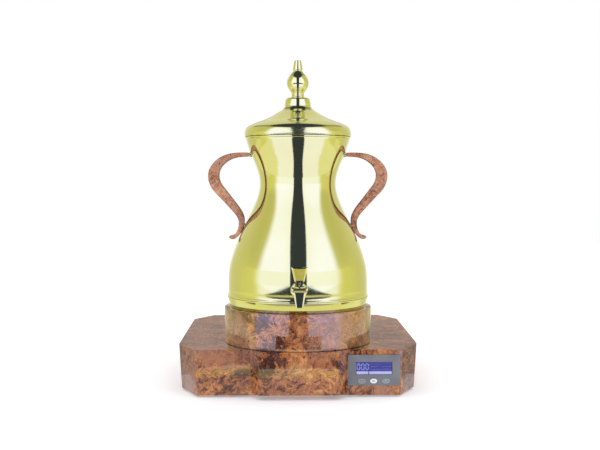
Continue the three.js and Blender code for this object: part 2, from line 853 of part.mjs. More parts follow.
// The strap: a rounded section that follows the course, thick at the bend and curled at the foot.
function handleStrap(side) {
  const course = new THREE.CatmullRomCurve3(
    HANDLE_COURSE.map(([x, z]) => new THREE.Vector3(x, 0, z)),
  );
  const thickness = new THREE.CatmullRomCurve3(
    HANDLE_COURSE.map(([, , t], i) => new THREE.Vector3(t, i, 0)),
  );
  const rings = [];
  for (let step = 0; step <= HANDLE_STEPS; step++) {
    const t = step / HANDLE_STEPS;
    const centre = course.getPoint(t);
    const tangent = course.getTangent(t);
    const across = new THREE.Vector3(tangent.z, 0, -tangent.x);
    const ends = Math.min(1, 0.55 + 12 * (1 - t)); // rounds the curled foot off
    const thick = thickness.getPoint(t).x * ends;
    const deep = (10 + 0.36 * thick) * ends;
    const ring = [];
    for (let corner = 0; corner < HANDLE_SIDES; corner++) {
      const angle = (2 * Math.PI * (corner + 0.5)) / HANDLE_SIDES;
      const [c, s] = [Math.cos(angle), Math.sin(angle)];
      const squared = 1 / Math.pow(Math.abs(c) ** 4 + Math.abs(s) ** 4, 0.25);
      const point = centre.clone().addScaledVector(across, (thick / 2) * c * squared);
      point.y = (deep / 2) * s * squared;
      point.x *= side;
      ring.push(point);
    }
    rings.push(side > 0 ? ring : ring.reverse());
  }
  return cut(
    loft(rings),
    upperStudBar(side, 90, 116, 2.3),
    lowerStudBar(side, -2, 9, 2.3),
  );
}

for (const [place, side] of [["left", -1], ["right", 1]]) {
  part("handle_" + place, handleStrap(side), HANDLE_BURL);
  const socket = cut(upperStudBar(side, 80, 95.4, FERRULE_RADIUS), tankOutside);
  const ferrule = join(
    socket,
    upperStudBar(side, 86.5, 114, 1.9),
    upperStudBar(side, 86, 88.2, 3.6),
  );
  part("handle_ferrule_" + place, ferrule, GOLD);
  const stud = join(lowerStudBar(side, -6.8, 8, 1.8), lowerStudBar(side, -7, -4.6, 4));
  part("handle_stud_" + place, stud, STEEL);
}

// ---- Lid ----

const lid = new THREE.Group();
machine.add(lid);

// Outer contour of the lid from the rim up to the collar's seat, [radius, height].
const lidContour = new THREE.SplineCurve(
  [
    [104.5, 496],
    [102.8, 502.4],
    [97, 509.6],
    [84.4, 516.2],
    [63.2, 523.8],
    [47.4, 531.6],
    [34.4, 539.4],
    [27.8, LID_TOP],
  ].map(([r, z]) => new THREE.Vector2(r, z)),
);

function lidShell() {
  const outer = [];
  const inner = [];
  const steps = 7;
  for (let step = 0; step <= steps; step++) {
    const { x: r, y: z } = lidContour.getPoint(step / steps);
    const tangent = lidContour.getTangent(step / steps);
    outer.push([r, z]);
    const moved = [r - LID_WALL * tangent.y, z + LID_WALL * tangent.x];
    if (moved[1] < LID_TOP - LID_WALL - 1) inner.push(moved);
  }
  return revolve([
    [103.9, LID_BOTTOM],
    ...outer,
    [studHole, LID_TOP],
    [studHole, LID_TOP - LID_WALL],
    [24, LID_TOP - LID_WALL],
    ...inner.reverse(),
    [102.2, LID_BOTTOM],
  ]);
}

part("lid_shell", lidShell(), GOLD, lid);

const plugFlange = RIM_Z + 4;
const plug = revolve([
  [studHole, PLUG_BOTTOM],
  [PLUG_RADIUS - 1.5, PLUG_BOTTOM],
  [PLUG_RADIUS, PLUG_BOTTOM + 1.5],
  [PLUG_RADIUS, plugFlange],
  [FLANGE_RADIUS, plugFlange],
  [FLANGE_RADIUS, plugFlange + 2],
  [studHole, plugFlange + 2],
]);
part("lid_plug", plug, STEEL, lid);

const gasketBottom = RIM_Z + 1.9;
const gasketTop = plugFlange - GAP;
const gasket = revolve([
  [PLUG_RADIUS + 1, gasketBottom],
  [FLANGE_RADIUS - 1, gasketBottom],
  [FLANGE_RADIUS, gasketTop],
  [PLUG_RADIUS + 1, gasketTop],
]);
part("lid_gasket", gasket, SILICONE, lid);

const collar = revolve(
  [
    [studHole, LID_TOP + GAP],
    [27.4, LID_TOP + GAP],
    [26.2, 549.2],
    [25.2, 553.6],
    [24.2, 559],
    [23.4, 562.6],
    [21, 565.2],
    [15.5, COLLAR_TOP],
    [studHole, COLLAR_TOP],
  ],
  20,
);
part("lid_collar", collar, GOLD, lid);

// Bulb and cap of the finial, on the long stud that clamps the lid together.
function finial() {
  const bulb = new THREE.SplineCurve(
    [
      [12.4, 574.8],
      [15.4, 579.4],
      [19.4, 586.4],
      [21.4, 594.4],
      [19.7, 602],
      [15.5, 609.4],
      [8.8, 617.4],
    ].map(([r, z]) => new THREE.Vector2(r, z)),
  );
  const bulbPoints = bulb.getPoints(7).map((point) => [point.x, point.y]);
  const studBottom = PLUG_BOTTOM - 4.4;
  return revolve(
    [
      [0, studBottom],
      [STUD_RADIUS, studBottom],
      [STUD_RADIUS, COLLAR_TOP + GAP],
      [12.4, COLLAR_TOP + GAP],
      ...bulbPoints,
      [9.2, 619.6],
      [9.7, 622],
      [9.1, 626],
      [7.1, FINIAL_TOP - 2.5],
      [6.4, FINIAL_TOP],
      [0, FINIAL_TOP],
    ],
    20,
  );
}

part("lid_finial", finial(), GOLD, lid);

const capNut = revolve(
  [
    [0, PLUG_BOTTOM - 6],
    [3.4, PLUG_BOTTOM - 5.4],
    [5.6, PLUG_BOTTOM - 3.2],
    [5.6, PLUG_BOTTOM - GAP],
    [studHole, PLUG_BOTTOM - GAP],
    [studHole, PLUG_BOTTOM - 4.8],
    [0, PLUG_BOTTOM - 4.8],
  ],
  16,
);
part("lid_cap_nut", capNut, STEEL, lid);

// ---- Control panel ----

// Its group sits on the base's front face: x across, z up, and y into the base.
const panel = new THREE.Group();
panel.position.set(PANEL_CENTRE_X, BASE_FRONT_Y, PANEL_CENTRE_Z);
machine.add(panel);

const bezelFront = -2.2;
const bezelBack = -GAP;
const frameWidth = PANEL_WIDTH - 2 * PANEL_OVERLAP - 2 * GAP;
const frameHeight = PANEL_HEIGHT - 2 * PANEL_OVERLAP - 2 * GAP;

function controlBezel() {
  const plateDepth = bezelBack - bezelFront;
  const plate = block(PANEL_WIDTH, plateDepth, PANEL_HEIGHT, 0, bezelFront + plateDepth / 2, 0);
  const frame = cut(
    block(frameWidth, 8, frameHeight, 0, bezelBack + 3.9, 0),
    block(
      frameWidth - 2 * PANEL_FRAME_WALL,
      10,
      frameHeight - 2 * PANEL_FRAME_WALL,
      0,
      bezelBack + 5,
      0,
    ),
  );
  const window = block(LCD_WIDTH, 8, LCD_HEIGHT, 0, 0, LCD_OFFSET_Z);
  const buttonHoles = Object.values(BUTTONS).map((x) =>
    oval(BUTTON_WIDTH + 0.7, BUTTON_HEIGHT + 0.7, -5, 5, x, BUTTON_OFFSET_Z),
  );
  return cut(join(plate, frame), window, ...buttonHoles);
}

part("control_bezel", controlBezel(), GREY_PLASTIC, panel);

const windowGlass = block(LCD_WIDTH - 0.7, 1.4, LCD_HEIGHT - 0.7, 0, -1.2, LCD_OFFSET_Z);
part("lcd_window", windowGlass, GLASS, panel);
const lcdModule = block(LCD_WIDTH + 5, 5.6, LCD_HEIGHT - 1, 0, 3, LCD_OFFSET_Z);
part("lcd_module", lcdModule, LCD_BLUE, panel);

const boardFront = 6.3;
const switchTop = BUTTON_TRAVEL + GAP + 1.6;
const tactSwitches = Object.values(BUTTONS).map((x) =>
  block(6, boardFront - switchTop + 0.5, 5, x, (boardFront + 0.5 + switchTop) / 2, BUTTON_OFFSET_Z),
);
const controlBoard = join(
  block(frameWidth - 6, 1.6, frameHeight - 6, 0, boardFront + 0.8, 0),
  ...tactSwitches,
);
part("control_board", controlBoard, BOARD, panel);

for (const [place, x] of Object.entries(BUTTONS)) {
  const cap = oval(BUTTON_WIDTH, BUTTON_HEIGHT, bezelFront - BUTTON_TRAVEL, 0.6, x, BUTTON_OFFSET_Z);
  const flange = oval(BUTTON_WIDTH + 3, BUTTON_HEIGHT, 0.1, 1.5, x, BUTTON_OFFSET_Z);
  const finish = place === "middle" ? WHITE_PLASTIC : GREY_PLASTIC;
  part("button_" + place, join(cap, flange), finish, panel);
}

// ---- Power parts at the back ----

const backFace = BASE_BACK_Y + GAP;
const flangeBack = backFace + BACK_FLANGE;

// The appliance inlet: a socket open to the back, with its three flat pins.
function mainsInlet() {
  const bodyDepth = 24;
  const recessDepth = 19;
  const flange = block(
    INLET_WIDTH,
    BACK_FLANGE,
    INLET_HEIGHT,
    0,
    backFace + BACK_FLANGE / 2,
    0,
  );
  const body = block(INLET_WIDTH - 4.6, bodyDepth, INLET_HEIGHT - 4.6, 0, backFace + 1 - bodyDepth / 2, 0);
  const recess = block(23.4, recessDepth, 16.4, 0, flangeBack + 0.5 - recessDepth / 2, 0);
  const pinFoot = flangeBack - recessDepth;
  const pins = [[-7, -1.5], [0, 2.5], [7, -1.5]].map(([x, z]) =>
    block(2, 14, 4, x, pinFoot + 6, z),
  );
  return join(cut(join(flange, body), recess), ...pins);
}

part("mains_inlet", mainsInlet(), BLACK_PLASTIC).position.set(INLET_X, 0, SOCKET_Z);

const switchDepth = 18;
const switchCup = cut(
  join(
    block(SWITCH_WIDTH, BACK_FLANGE, SWITCH_HEIGHT, 0, backFace + BACK_FLANGE / 2, 0),
    block(
      SWITCH_WIDTH - 3.6,
      switchDepth,
      SWITCH_HEIGHT - 3.6,
      0,
      backFace + 1 - switchDepth / 2,
      0,
    ),
  ),
  block(12.8, 15, 20.6, 0, flangeBack + 0.5 - 7.5, 0),
);
part("switch_housing", switchCup, BLACK_PLASTIC).position.set(SWITCH_X, 0, SOCKET_Z);

// The rocker's section in the YZ plane about its pivot, extruded across; it rests tilted, at off.
const rockerSection = new THREE.Shape(
  [
    [9, 1.6],
    [9, -5],
    [-9, -5],
    [-9, 1.6],
    [0, 0.4],
  ].map(([z, y]) => new THREE.Vector2(y, z)),
);
const rockerGeometry = new THREE.ExtrudeGeometry(rockerSection, { depth: 12, bevelEnabled: false })
  .translate(0, 0, -6)
  .rotateY(Math.PI / 2)
  .rotateX(Math.PI / 2);
const rocker = part("power_rocker", rockerGeometry, BLACK_PLASTIC);
rocker.position.set(SWITCH_X, flangeBack - 3.5, SOCKET_Z);
rocker.rotation.x = -ROCKER_TILT;

function powerBoard() {
  const boardBottom = 17;
  const sheet = block(110, 80, 1.6, 0, 0, boardBottom + 0.8);
  const standoffs = [-1, 1].flatMap((sx) =>
    [-1, 1].map((sy) =>
      post(sx * 50, sy * 35, PLATE_BOTTOM + PLATE_THICKNESS + GAP, boardBottom + 0.5, 3, 10),
    ),
  );
  return join(sheet, ...standoffs);
}

const electronics = new THREE.Group();
electronics.position.set(118, 220, 0);
machine.add(electronics);
part("power_board", powerBoard(), BOARD, electronics);
part("transformer", block(46, 38, 34, 22, 8, 36), STEEL, electronics);

// The origin goes under the middle of the machine's full depth, from the tap to the back flanges.
const frontMost = TAP_Y - TAP_BODY_DEPTH / 2;
machine.position.y = -(frontMost + flangeBack) / 2;

export default machine;
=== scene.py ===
import json
import math

import bmesh
import bpy
import numpy as np
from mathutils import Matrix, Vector


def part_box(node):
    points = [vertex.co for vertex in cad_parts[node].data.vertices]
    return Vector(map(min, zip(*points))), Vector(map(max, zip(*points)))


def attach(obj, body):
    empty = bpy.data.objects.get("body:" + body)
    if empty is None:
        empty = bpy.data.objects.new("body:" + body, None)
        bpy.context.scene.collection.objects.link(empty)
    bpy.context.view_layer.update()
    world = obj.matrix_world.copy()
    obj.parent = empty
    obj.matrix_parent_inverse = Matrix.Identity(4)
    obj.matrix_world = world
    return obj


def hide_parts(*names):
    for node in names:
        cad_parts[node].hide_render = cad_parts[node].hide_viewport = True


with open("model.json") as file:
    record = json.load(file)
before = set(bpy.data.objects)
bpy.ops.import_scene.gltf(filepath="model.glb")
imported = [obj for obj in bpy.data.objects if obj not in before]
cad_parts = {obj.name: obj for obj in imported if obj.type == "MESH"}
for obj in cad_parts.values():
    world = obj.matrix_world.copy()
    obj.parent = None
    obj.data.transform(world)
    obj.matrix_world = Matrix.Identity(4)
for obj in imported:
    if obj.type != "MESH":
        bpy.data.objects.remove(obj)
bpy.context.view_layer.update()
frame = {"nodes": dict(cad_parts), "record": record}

# An electric Arabic-coffee dispenser in the shape of a dallah: a mirror-gold tank, lid and tap over
# a burl drum and an octagonal burl base with a lit display. Everything that shows is rebuilt as a
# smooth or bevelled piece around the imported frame.
#
# Shapes are written in millimetres about the tank's axis, with the floor at z = 0 and the tap
# towards -Y, and place() turns them into the frame's metres.

MM = 0.001
SCENE = bpy.context.scene


def middle(node):
    """The middle of a CAD node's box, in the frame."""
    low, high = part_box(node)
    return (low + high) / 2


AXIS = middle("tank_outer_shell") * Vector((1, 1, 0))


def place(point):
    """A point in millimetres about the tank's axis, in the frame's metres."""
    return AXIS + Vector(point) * MM


def extent(node):
    """A CAD node's box in millimetres about the tank's axis, as (low, high)."""
    low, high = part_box(node)
    return (low - AXIS) / MM, (high - AXIS) / MM


def heart(node):
    """The middle of a CAD node's box, in millimetres about the tank's axis."""
    return (middle(node) - AXIS) / MM


# ---- Camera ----

CAMERA_HEIGHT = 0.4094
CAMERA_DISTANCE = 1.965  # from the tank's axis
CAMERA_OFFSET = -0.03
CAMERA_PITCH = math.radians(2.69)
CAMERA_YAW = math.radians(-1.0)
FOCAL_LENGTH = 60


def new_object(name, data):
    made = bpy.data.objects.new(name, data)
    SCENE.collection.objects.link(made)
    return made


def make_camera():
    data = bpy.data.cameras.new("camera")
    data.lens = FOCAL_LENGTH
    camera = new_object("camera", data)
    camera.location = (CAMERA_OFFSET, AXIS.y - CAMERA_DISTANCE, CAMERA_HEIGHT)
    camera.rotation_euler = (math.pi / 2 - CAMERA_PITCH, 0, CAMERA_YAW)
    SCENE.camera = camera


make_camera()

# ---- Outlines ----


def smooth_curve(points, count):
    """count + 1 points evenly spread along a natural cubic spline through the given ones.

    The spline's parameter is the length of the chords between their first two numbers."""
    knots = np.array(points, float)
    chords = np.linalg.norm(np.diff(knots[:, :2], axis=0), axis=1)
    at = np.concatenate([[0], np.cumsum(chords)])
    system = np.eye(len(knots))
    right = np.zeros_like(knots)
    for i in range(1, len(knots) - 1):
        before, after = chords[i - 1], chords[i]
        system[i, i - 1 : i + 2] = [before, 2 * (before + after), after]
        rise, fall = (knots[i + 1] - knots[i]) / after, (knots[i] - knots[i - 1]) / before
        right[i] = 6 * (rise - fall)
    bends = np.linalg.solve(system, right)
    curve = []
    for where in np.linspace(0, at[-1], count + 1):
        i = min(int(np.searchsorted(at, where, side="right")) - 1, len(chords) - 1)
        step, a, b = chords[i], at[i + 1] - where, where - at[i]
        point = (bends[i] * a**3 + bends[i + 1] * b**3) / (6 * step)
        point = point + (knots[i] / step - bends[i] * step / 6) * a
        point = point + (knots[i + 1] / step - bends[i + 1] * step / 6) * b
        curve.append(tuple(float(value) for value in point))
    return curve


LEAST_TURN = math.radians(18)
TINY = 1e-6


def fillet(points, radius, steps=4, closed=True):
    """The outline with each corner that turns by LEAST_TURN or more rounded off to a radius."""
    made = []
    count = len(points)
    for i, point in enumerate(points):
        if not closed and i in (0, count - 1):
            made.append(tuple(point))
            continue
        here = Vector(point)
        to_last = Vector(points[i - 1]) - here
        to_next = Vector(points[(i + 1) % count]) - here
        turn = math.pi - to_last.angle(to_next, math.pi)
        if turn < LEAST_TURN:
            made.append(tuple(point))
            continue
        reach = min(radius * math.tan(turn / 2), 0.45 * to_last.length, 0.45 * to_next.length)
        start = here + to_last.normalized() * reach
        end = here + to_next.normalized() * reach
        for step in range(steps + 1):
            t = step / steps
            spot = start * (1 - t) ** 2 + here * 2 * t * (1 - t) + end * t**2
            made.append(tuple(spot))
    return made


# ---- Mesh helpers ----


def soften(mesh, angle):
    """Smooth shading, with every edge that turns more than angle kept crisp."""
    shape = bmesh.new()
    shape.from_mesh(mesh)
    bmesh.ops.recalc_face_normals(shape, faces=shape.faces)
    for face in shape.faces:
        face.smooth = True
    for edge in shape.edges:
        edge.smooth = edge.calc_face_angle(0) < math.radians(angle)
    shape.to_mesh(mesh)
    shape.free()


def new_piece(name, points, faces, angle=35):
    """An object from points in millimetres about the tank's axis."""
    mesh = bpy.data.meshes.new(name)
    mesh.from_pydata([place(point) for point in points], [], faces)
    soften(mesh, angle)
    return new_object(name, mesh)


def revolve_data(profile, segments, turn):
    """Points and faces of a solid of revolution. The profile is [radius, height] points: it starts
    and ends on the axis, or it is a ring's closed section. turn maps (across, away, along) to a
    point."""
    points, rings, faces = [], [], []
    for radius, height in profile:
        if radius < TINY:
            rings.append([len(points)] * segments)
            points.append(turn(0, 0, height))
            continue
        rings.append(list(range(len(points), len(points) + segments)))
        for i in range(segments):
            angle = 2 * math.pi * i / segments
            points.append(turn(radius * math.cos(angle), radius * math.sin(angle), height))
    solid = profile[0][0] < TINY and profile[-1][0] < TINY
    pairs = list(zip(rings, rings[1:]))
    if not solid:
        pairs.append((rings[-1], rings[0]))
    for lower, upper in pairs:
        for i in range(segments):
            j = (i + 1) % segments
            corners = list(dict.fromkeys([lower[i], lower[j], upper[j], upper[i]]))
            if len(corners) > 2:
                faces.append(corners)
    return points, faces


def upright(x=0, y=0):
    """Revolved about an upright line."""
    return lambda across, away, along: (x + across, y + away, along)


def forward(z):
    """Revolved about a level line that runs along Y, with heights read as y."""
    return lambda across, away, along: (across, along, z + away)


def sideways(z):
    """Revolved about a level line that runs along X, with heights read as x."""
    return lambda across, away, along: (along, across, z + away)


def revolved(name, profile, segments, material, node, turn=upright()):
    settle(new_piece(name, *revolve_data(profile, segments, turn)), material, node)


def loft_data(rings):
    """Points and faces of a closed skin over rings of equally many points."""
    sides = len(rings[0])
    points = [point for ring in rings for point in ring]
    faces = [list(range(sides))[::-1], list(range(len(points) - sides, len(points)))]
    for start in range(0, len(points) - sides, sides):
        for i in range(sides):
            j = (i + 1) % sides
            faces.append([start + i, start + j, start + sides + j, start + sides + i])
    return points, faces


def gathered(name, parts, angle=50):
    """One piece out of several (points, faces) pairs."""
    points, faces = [], []
    for part_points, part_faces in parts:
        faces += [[len(points) + corner for corner in face] for face in part_faces]
        points += part_points
    return new_piece(name, points, faces, angle)


def apply_modifiers(piece):
    graph = bpy.context.evaluated_depsgraph_get()
    mesh = bpy.data.meshes.new_from_object(piece.evaluated_get(graph))
    piece.modifiers.clear()
    piece.data = mesh


def round_edges(piece, width, segments, limit=30):
    """Rounds every edge that turns more than limit; width is in millimetres."""
    bevel = piece.modifiers.new("bevel", "BEVEL")
    bevel.width = width * MM
    bevel.segments = segments
    bevel.limit_method = "ANGLE"
    bevel.angle_limit = math.radians(limit)
    bevel.miter_outer = "MITER_ARC"
    apply_modifiers(piece)
    soften(piece.data, 40)
    weigh = piece.modifiers.new("weigh", "WEIGHTED_NORMAL")
    weigh.keep_sharp = True
    apply_modifiers(piece)
    return piece


def bevelled(name, node, width, segments, material):
    """A CAD node's shape with its flat faces made whole and its edges rounded, as a new piece."""
    shape = bmesh.new()
    shape.from_mesh(frame["nodes"][node].data)
    bmesh.ops.remove_doubles(shape, verts=shape.verts, dist=TINY)
    flat = math.radians(0.5)
    bmesh.ops.dissolve_limit(shape, angle_limit=flat, verts=shape.verts, edges=shape.edges)
    bmesh.ops.connect_verts_concave(shape, faces=shape.faces)
    mesh = bpy.data.meshes.new(name)
    shape.to_mesh(mesh)
    shape.free()
    mesh.materials.clear()
    return settle(round_edges(new_object(name, mesh), width, segments), material, node)


# ---- Pieces, bodies and slots ----

BODIES = frame["record"]["behaviour"]["bodies"]
BODY_OF = {node: body for body, nodes in BODIES.items() for node in nodes}
SLOT_OF = {row["node"]: row["material_slot"] for row in frame["record"]["subparts"]}


def settle(piece, material, node, stands_for=True):
    """Gives a piece its material and the body of the CAD node that it shows."""
    piece.data.materials.clear()
    piece.data.materials.append(material)
    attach(piece, BODY_OF[node])
    if stands_for:
        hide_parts(node)
    return piece


# ---- Material helpers ----


def fill(tree, node, inputs):
    """Sets a node's inputs, each to a value or by a link from another node's socket."""
    for key, value in inputs.items():
        if isinstance(value, bpy.types.NodeSocket):
            tree.links.new(value, node.inputs[key])
        else:
            node.inputs[key].default_value = value


def add(tree, kind, inputs=None, **settings):
    """A new shader node with its settings and inputs."""
    made = tree.nodes.new("ShaderNode" + kind)
    for key, value in settings.items():
        setattr(made, key, value)
    fill(tree, made, inputs or {})
    return made


def new_tree(owner, kind, output="OutputMaterial"):
    """Gives a material or the world a tree of just its output and one shader."""
    owner.use_nodes = True
    tree = owner.node_tree
    tree.nodes.clear()
    shader = add(tree, kind)
    add(tree, output, {"Surface": shader.outputs[0]})
    return tree, shader


def painted(name, look, *settings, kind="BsdfPrincipled", **more):
    """A material whose shader gets the inputs that look(tree, ...) returns."""
    material = bpy.data.materials.new(name)
    tree, shader = new_tree(material, kind)
    fill(tree, shader, look(tree, *settings, **more))
    return material


def ramp(tree, value, stops):
    """A colour ramp's colour. Stops are (position, RGB)."""
    made = add(tree, "ValToRGB", {"Fac": value})
    elements = made.color_ramp.elements
    while len(elements) < len(stops):
        elements.new(0.5)
    for element, (position, tone) in zip(elements, stops):
        element.position = position
        element.color = (*tone, 1)
    return made.outputs["Color"]


def mottle(tree, value, low, high, edge=0.3):
    """A colour that wanders between two tones with a noise's value."""
    return ramp(tree, value, [(edge, low), (1 - edge, high)])


def shade(tone, share):
    """A tone made darker or paler."""
    return tuple(min(1, share * channel) for channel in tone)


def blend(tree, factor, first, second):
    """The first colour where factor is 0, the second where it is 1."""
    colors = [(*c, 1) if isinstance(c, tuple) else c for c in (first, second)]
    inputs = {0: factor, 6: colors[0], 7: colors[1]}
    return add(tree, "Mix", inputs, data_type="RGBA", clamp_factor=True).outputs[2]


def calc(tree, operation, first, second=0.0, third=0.0):
    return add(tree, "Math", {0: first, 1: second, 2: third}, operation=operation).outputs[0]


def times(tree, first, second):
    return calc(tree, "MULTIPLY", first, second)


def minus(tree, first, second):
    return calc(tree, "SUBTRACT", first, second)


def inverse(tree, value):
    """1 where the value is 0, and 0 where it is 1."""
    return minus(tree, 1, value)


def spread(tree, value, low, high, start=0.0, end=1.0):
    """The value with its range from start to end mapped onto low to high."""
    inputs = {"Value": value, "From Min": start, "From Max": end, "To Min": low, "To Max": high}
    return add(tree, "MapRange", inputs).outputs["Result"]


def step_up(tree, value, low, high):
    """0 below low, 1 above high and smooth between them."""
    inputs = {"Value": value, "From Min": low, "From Max": high}
    made = add(tree, "MapRange", inputs, interpolation_type="SMOOTHSTEP", clamp=True)
    return made.outputs["Result"]


def within(tree, value, low, high, soft):
    """1 between low and high, with soft ends."""
    after = step_up(tree, value, low - soft, low + soft)
    return times(tree, after, inverse(tree, step_up(tree, value, high - soft, high + soft)))


def noise(tree, vector, scale, detail=2.0, roughness=0.5, distortion=0.0, output="Fac"):
    inputs = {"Vector": vector, "Scale": scale, "Detail": detail, "Roughness": roughness}
    inputs["Distortion"] = distortion
    return add(tree, "TexNoise", inputs).outputs[output]


def coordinates(tree):
    return add(tree, "TexCoord").outputs["Object"]


def about_axis(tree):
    """X, Y and Z from the foot of the tank's axis."""
    inputs = {0: coordinates(tree), 1: tuple(AXIS)}
    shifted = add(tree, "VectorMath", inputs, operation="SUBTRACT").outputs["Vector"]
    return add(tree, "SeparateXYZ", {0: shifted}).outputs


def length(tree, x, y):
    flat = add(tree, "CombineXYZ", {0: x, 1: y}).outputs["Vector"]
    return add(tree, "VectorMath", {0: flat}, operation="LENGTH").outputs["Value"]


def bump(tree, height, strength, distance):
    inputs = {"Height": height, "Strength": strength, "Distance": distance}
    return add(tree, "Bump", inputs).outputs["Normal"]


# ---- Materials ----

# The noise scales are per metre, and the bump distances are in metres.
POLISHED_TINTS = (0.725, 0.705, 0.36), (0.755, 0.735, 0.40)
SATIN_TINTS = (0.92, 0.79, 0.115), (1.0, 0.88, 0.155)
MIRROR = 0.045, 0.085  # the roughness, from and to
SPUN = 0.11, 0.17
FIGURE_STOPS = 0.38, 0.45, 0.515, 0.58, 0.67
ROSE = 0.42, 0.25, 0.2
BASE_TONES = (0.055, 0.012, 0.005), (0.19, 0.05, 0.013), (0.46, 0.155, 0.042), (0.70, 0.325, 0.095)
STRAP_TONES = (0.22, 0.08, 0.04), (0.39, 0.165, 0.09), (0.55, 0.26, 0.145), (0.66, 0.36, 0.22)
EDGE_TONES = (0.09, 0.032, 0.02), (0.14, 0.052, 0.03), (0.21, 0.088, 0.052), (0.28, 0.13, 0.08)
SCREEN_GLOW = 0.8
BOARD_TONES = (0.015, 0.13, 0.045), (0.03, 0.22, 0.075)


def gold(tree, rough, spun=False):
    """Mirror-polished gold-tone plating. A spun piece keeps the lathe's fine rings."""
    at = coordinates(tree)
    if spun:
        x, y, _ = about_axis(tree)
        rings = add(tree, "CombineXYZ", {0: length(tree, x, y)}).outputs["Vector"]
        relief = bump(tree, noise(tree, rings, 900, 3, 0.6), 0.05, 0.0004)
    else:
        relief = bump(tree, noise(tree, at, 420), 0.012, 0.0004)
    return {
        "Base Color": mottle(tree, noise(tree, at, 14, 3, 0.55), *POLISHED_TINTS),
        "Roughness": spread(tree, noise(tree, at, 75, 4, 0.65, 1.2), *rough, 0.35, 0.75),
        "Metallic": 1,
        "Anisotropic": 0.35 if spun else 0,
        "Normal": relief,
    }


def satin_gold(tree):
    """The same plating over a blasted ground, for the sunk field of the tap's lever."""
    at = coordinates(tree)
    grain = noise(tree, at, 1300, 3, 0.6)
    return {
        "Base Color": mottle(tree, noise(tree, at, 90), *SATIN_TINTS),
        "Roughness": spread(tree, grain, 0.34, 0.5),
        "Metallic": 1,
        "Normal": bump(tree, grain, 0.12, 0.0002),
    }


def burl(tree, tones, coat, coat_roughness, coat_ior, size=1.0):
    """Burl veneer under lacquer. The four tones run from the darkest figure to the palest ground;
    the figure curls, gathers in clusters and is peppered with small eyes."""
    darkest, dark, ground, pale = tones
    at = coordinates(tree)
    drift = noise(tree, at, 16 / size, 3, 0.6, output="Color")
    centred = add(tree, "VectorMath", {0: drift, 1: (0.5, 0.5, 0.5)}, operation="SUBTRACT")
    push = {0: centred.outputs["Vector"], 1: (0.05 * size,) * 3, 2: at}
    warped = add(tree, "VectorMath", push, operation="MULTIPLY_ADD").outputs["Vector"]

    figure = noise(tree, warped, 52 / size, 5, 0.66, 1.9)
    clusters = minus(tree, noise(tree, warped, 15 / size, 3, 0.6, 0.8), 0.5)
    lean = calc(tree, "MULTIPLY_ADD", clusters, 0.75, figure)
    color = ramp(tree, lean, list(zip(FIGURE_STOPS, (darkest, dark, ground, ground, pale))))
    elsewhere = add(tree, "Mapping", {"Vector": warped, "Location": (3, 7, 1)}).outputs[0]
    blush = times(tree, step_up(tree, noise(tree, elsewhere, 9 / size), 0.48, 0.66), 0.7)
    color = blend(tree, blush, color, tuple(0.5 * (g + r) for g, r in zip(ground, ROSE)))

    strokes = noise(tree, warped, 105 / size, 5, 0.7, 2.2)
    ridge = calc(tree, "ABSOLUTE", minus(tree, strokes, 0.5))
    where = step_up(tree, noise(tree, warped, 30 / size, 3, 0.6), 0.42, 0.6)
    lines = inverse(tree, step_up(tree, ridge, 0.004, 0.05))
    lines = times(tree, lines, calc(tree, "MULTIPLY_ADD", where, 0.7, 0.15))
    color = blend(tree, lines, color, darkest)
    flecks = times(tree, step_up(tree, strokes, 0.56, 0.7), 0.5)
    color = blend(tree, flecks, color, pale)

    cells = add(tree, "TexVoronoi", {"Vector": warped, "Scale": 85 / size})
    eyes = inverse(tree, step_up(tree, cells.outputs["Distance"], 0.1, 0.26))
    eyes = times(tree, eyes, step_up(tree, noise(tree, at, 22 / size), 0.48, 0.58))
    return {
        "Base Color": blend(tree, eyes, color, shade(darkest, 0.5)),
        "Roughness": spread(tree, strokes, 0.4, 0.6),
        "Specular IOR Level": 0.1,
        "Coat Weight": coat,
        "Coat Roughness": coat_roughness,
        "Coat IOR": coat_ior,
        "Normal": bump(tree, minus(tree, strokes, eyes), 0.03, 0.0005),
    }


def brushed(tree, tone, rough=0.3, anisotropic=0.3):
    """Satin metal with a fine brushed streak and faint blotches."""
    at = coordinates(tree)
    stretched = add(tree, "Mapping", {"Vector": at, "Scale": (60, 60, 900)}).outputs["Vector"]
    streaks = noise(tree, stretched, 1, 4, 0.6)
    cloud = noise(tree, at, 22, 3)
    return {
        "Base Color": mottle(tree, cloud, shade(tone, 0.86), shade(tone, 1.06)),
        "Roughness": spread(tree, streaks, 0.75 * rough, 1.3 * rough),
        "Metallic": 1,
        "Anisotropic": anisotropic,
        "Normal": bump(tree, streaks, 0.06, 0.0002),
    }


def moulded(tree, tone, rough, texture=1500, depth=0.09, coat=0.0, lift=0.12):
    """Moulded plastic or rubber: a fine spark-eroded texture and a slight change of tone."""
    at = coordinates(tree)
    cloud = noise(tree, at, 45, 3)
    pits = noise(tree, at, texture)
    return {
        "Base Color": mottle(tree, cloud, shade(tone, 1 - lift), shade(tone, 1 + lift)),
        "Roughness": spread(tree, pits, 0.85 * rough, 1.2 * rough),
        "Coat Weight": coat,
        "Normal": bump(tree, pits, depth, 0.0002),
    }


def felt(tree, tone):
    """Ceramic-fibre felt: matted fibres with a soft sheen."""
    fibres = noise(tree, coordinates(tree), 260, 6, 0.75, 2.0)
    return {
        "Base Color": mottle(tree, fibres, shade(tone, 0.75), tone, 0.35),
        "Roughness": 0.95,
        "Sheen Weight": 0.4,
        "Normal": bump(tree, fibres, 0.5, 0.001),
    }


def lit(tree, tone):
    """A backlit display colour with a faint unevenness."""
    color = mottle(tree, noise(tree, coordinates(tree), 60), shade(tone, 0.88), tone)
    return {
        "Base Color": blend(tree, 0.7, color, (0, 0, 0)),
        "Emission Color": color,
        "Emission Strength": SCREEN_GLOW,
        "Roughness": 0.25,
    }


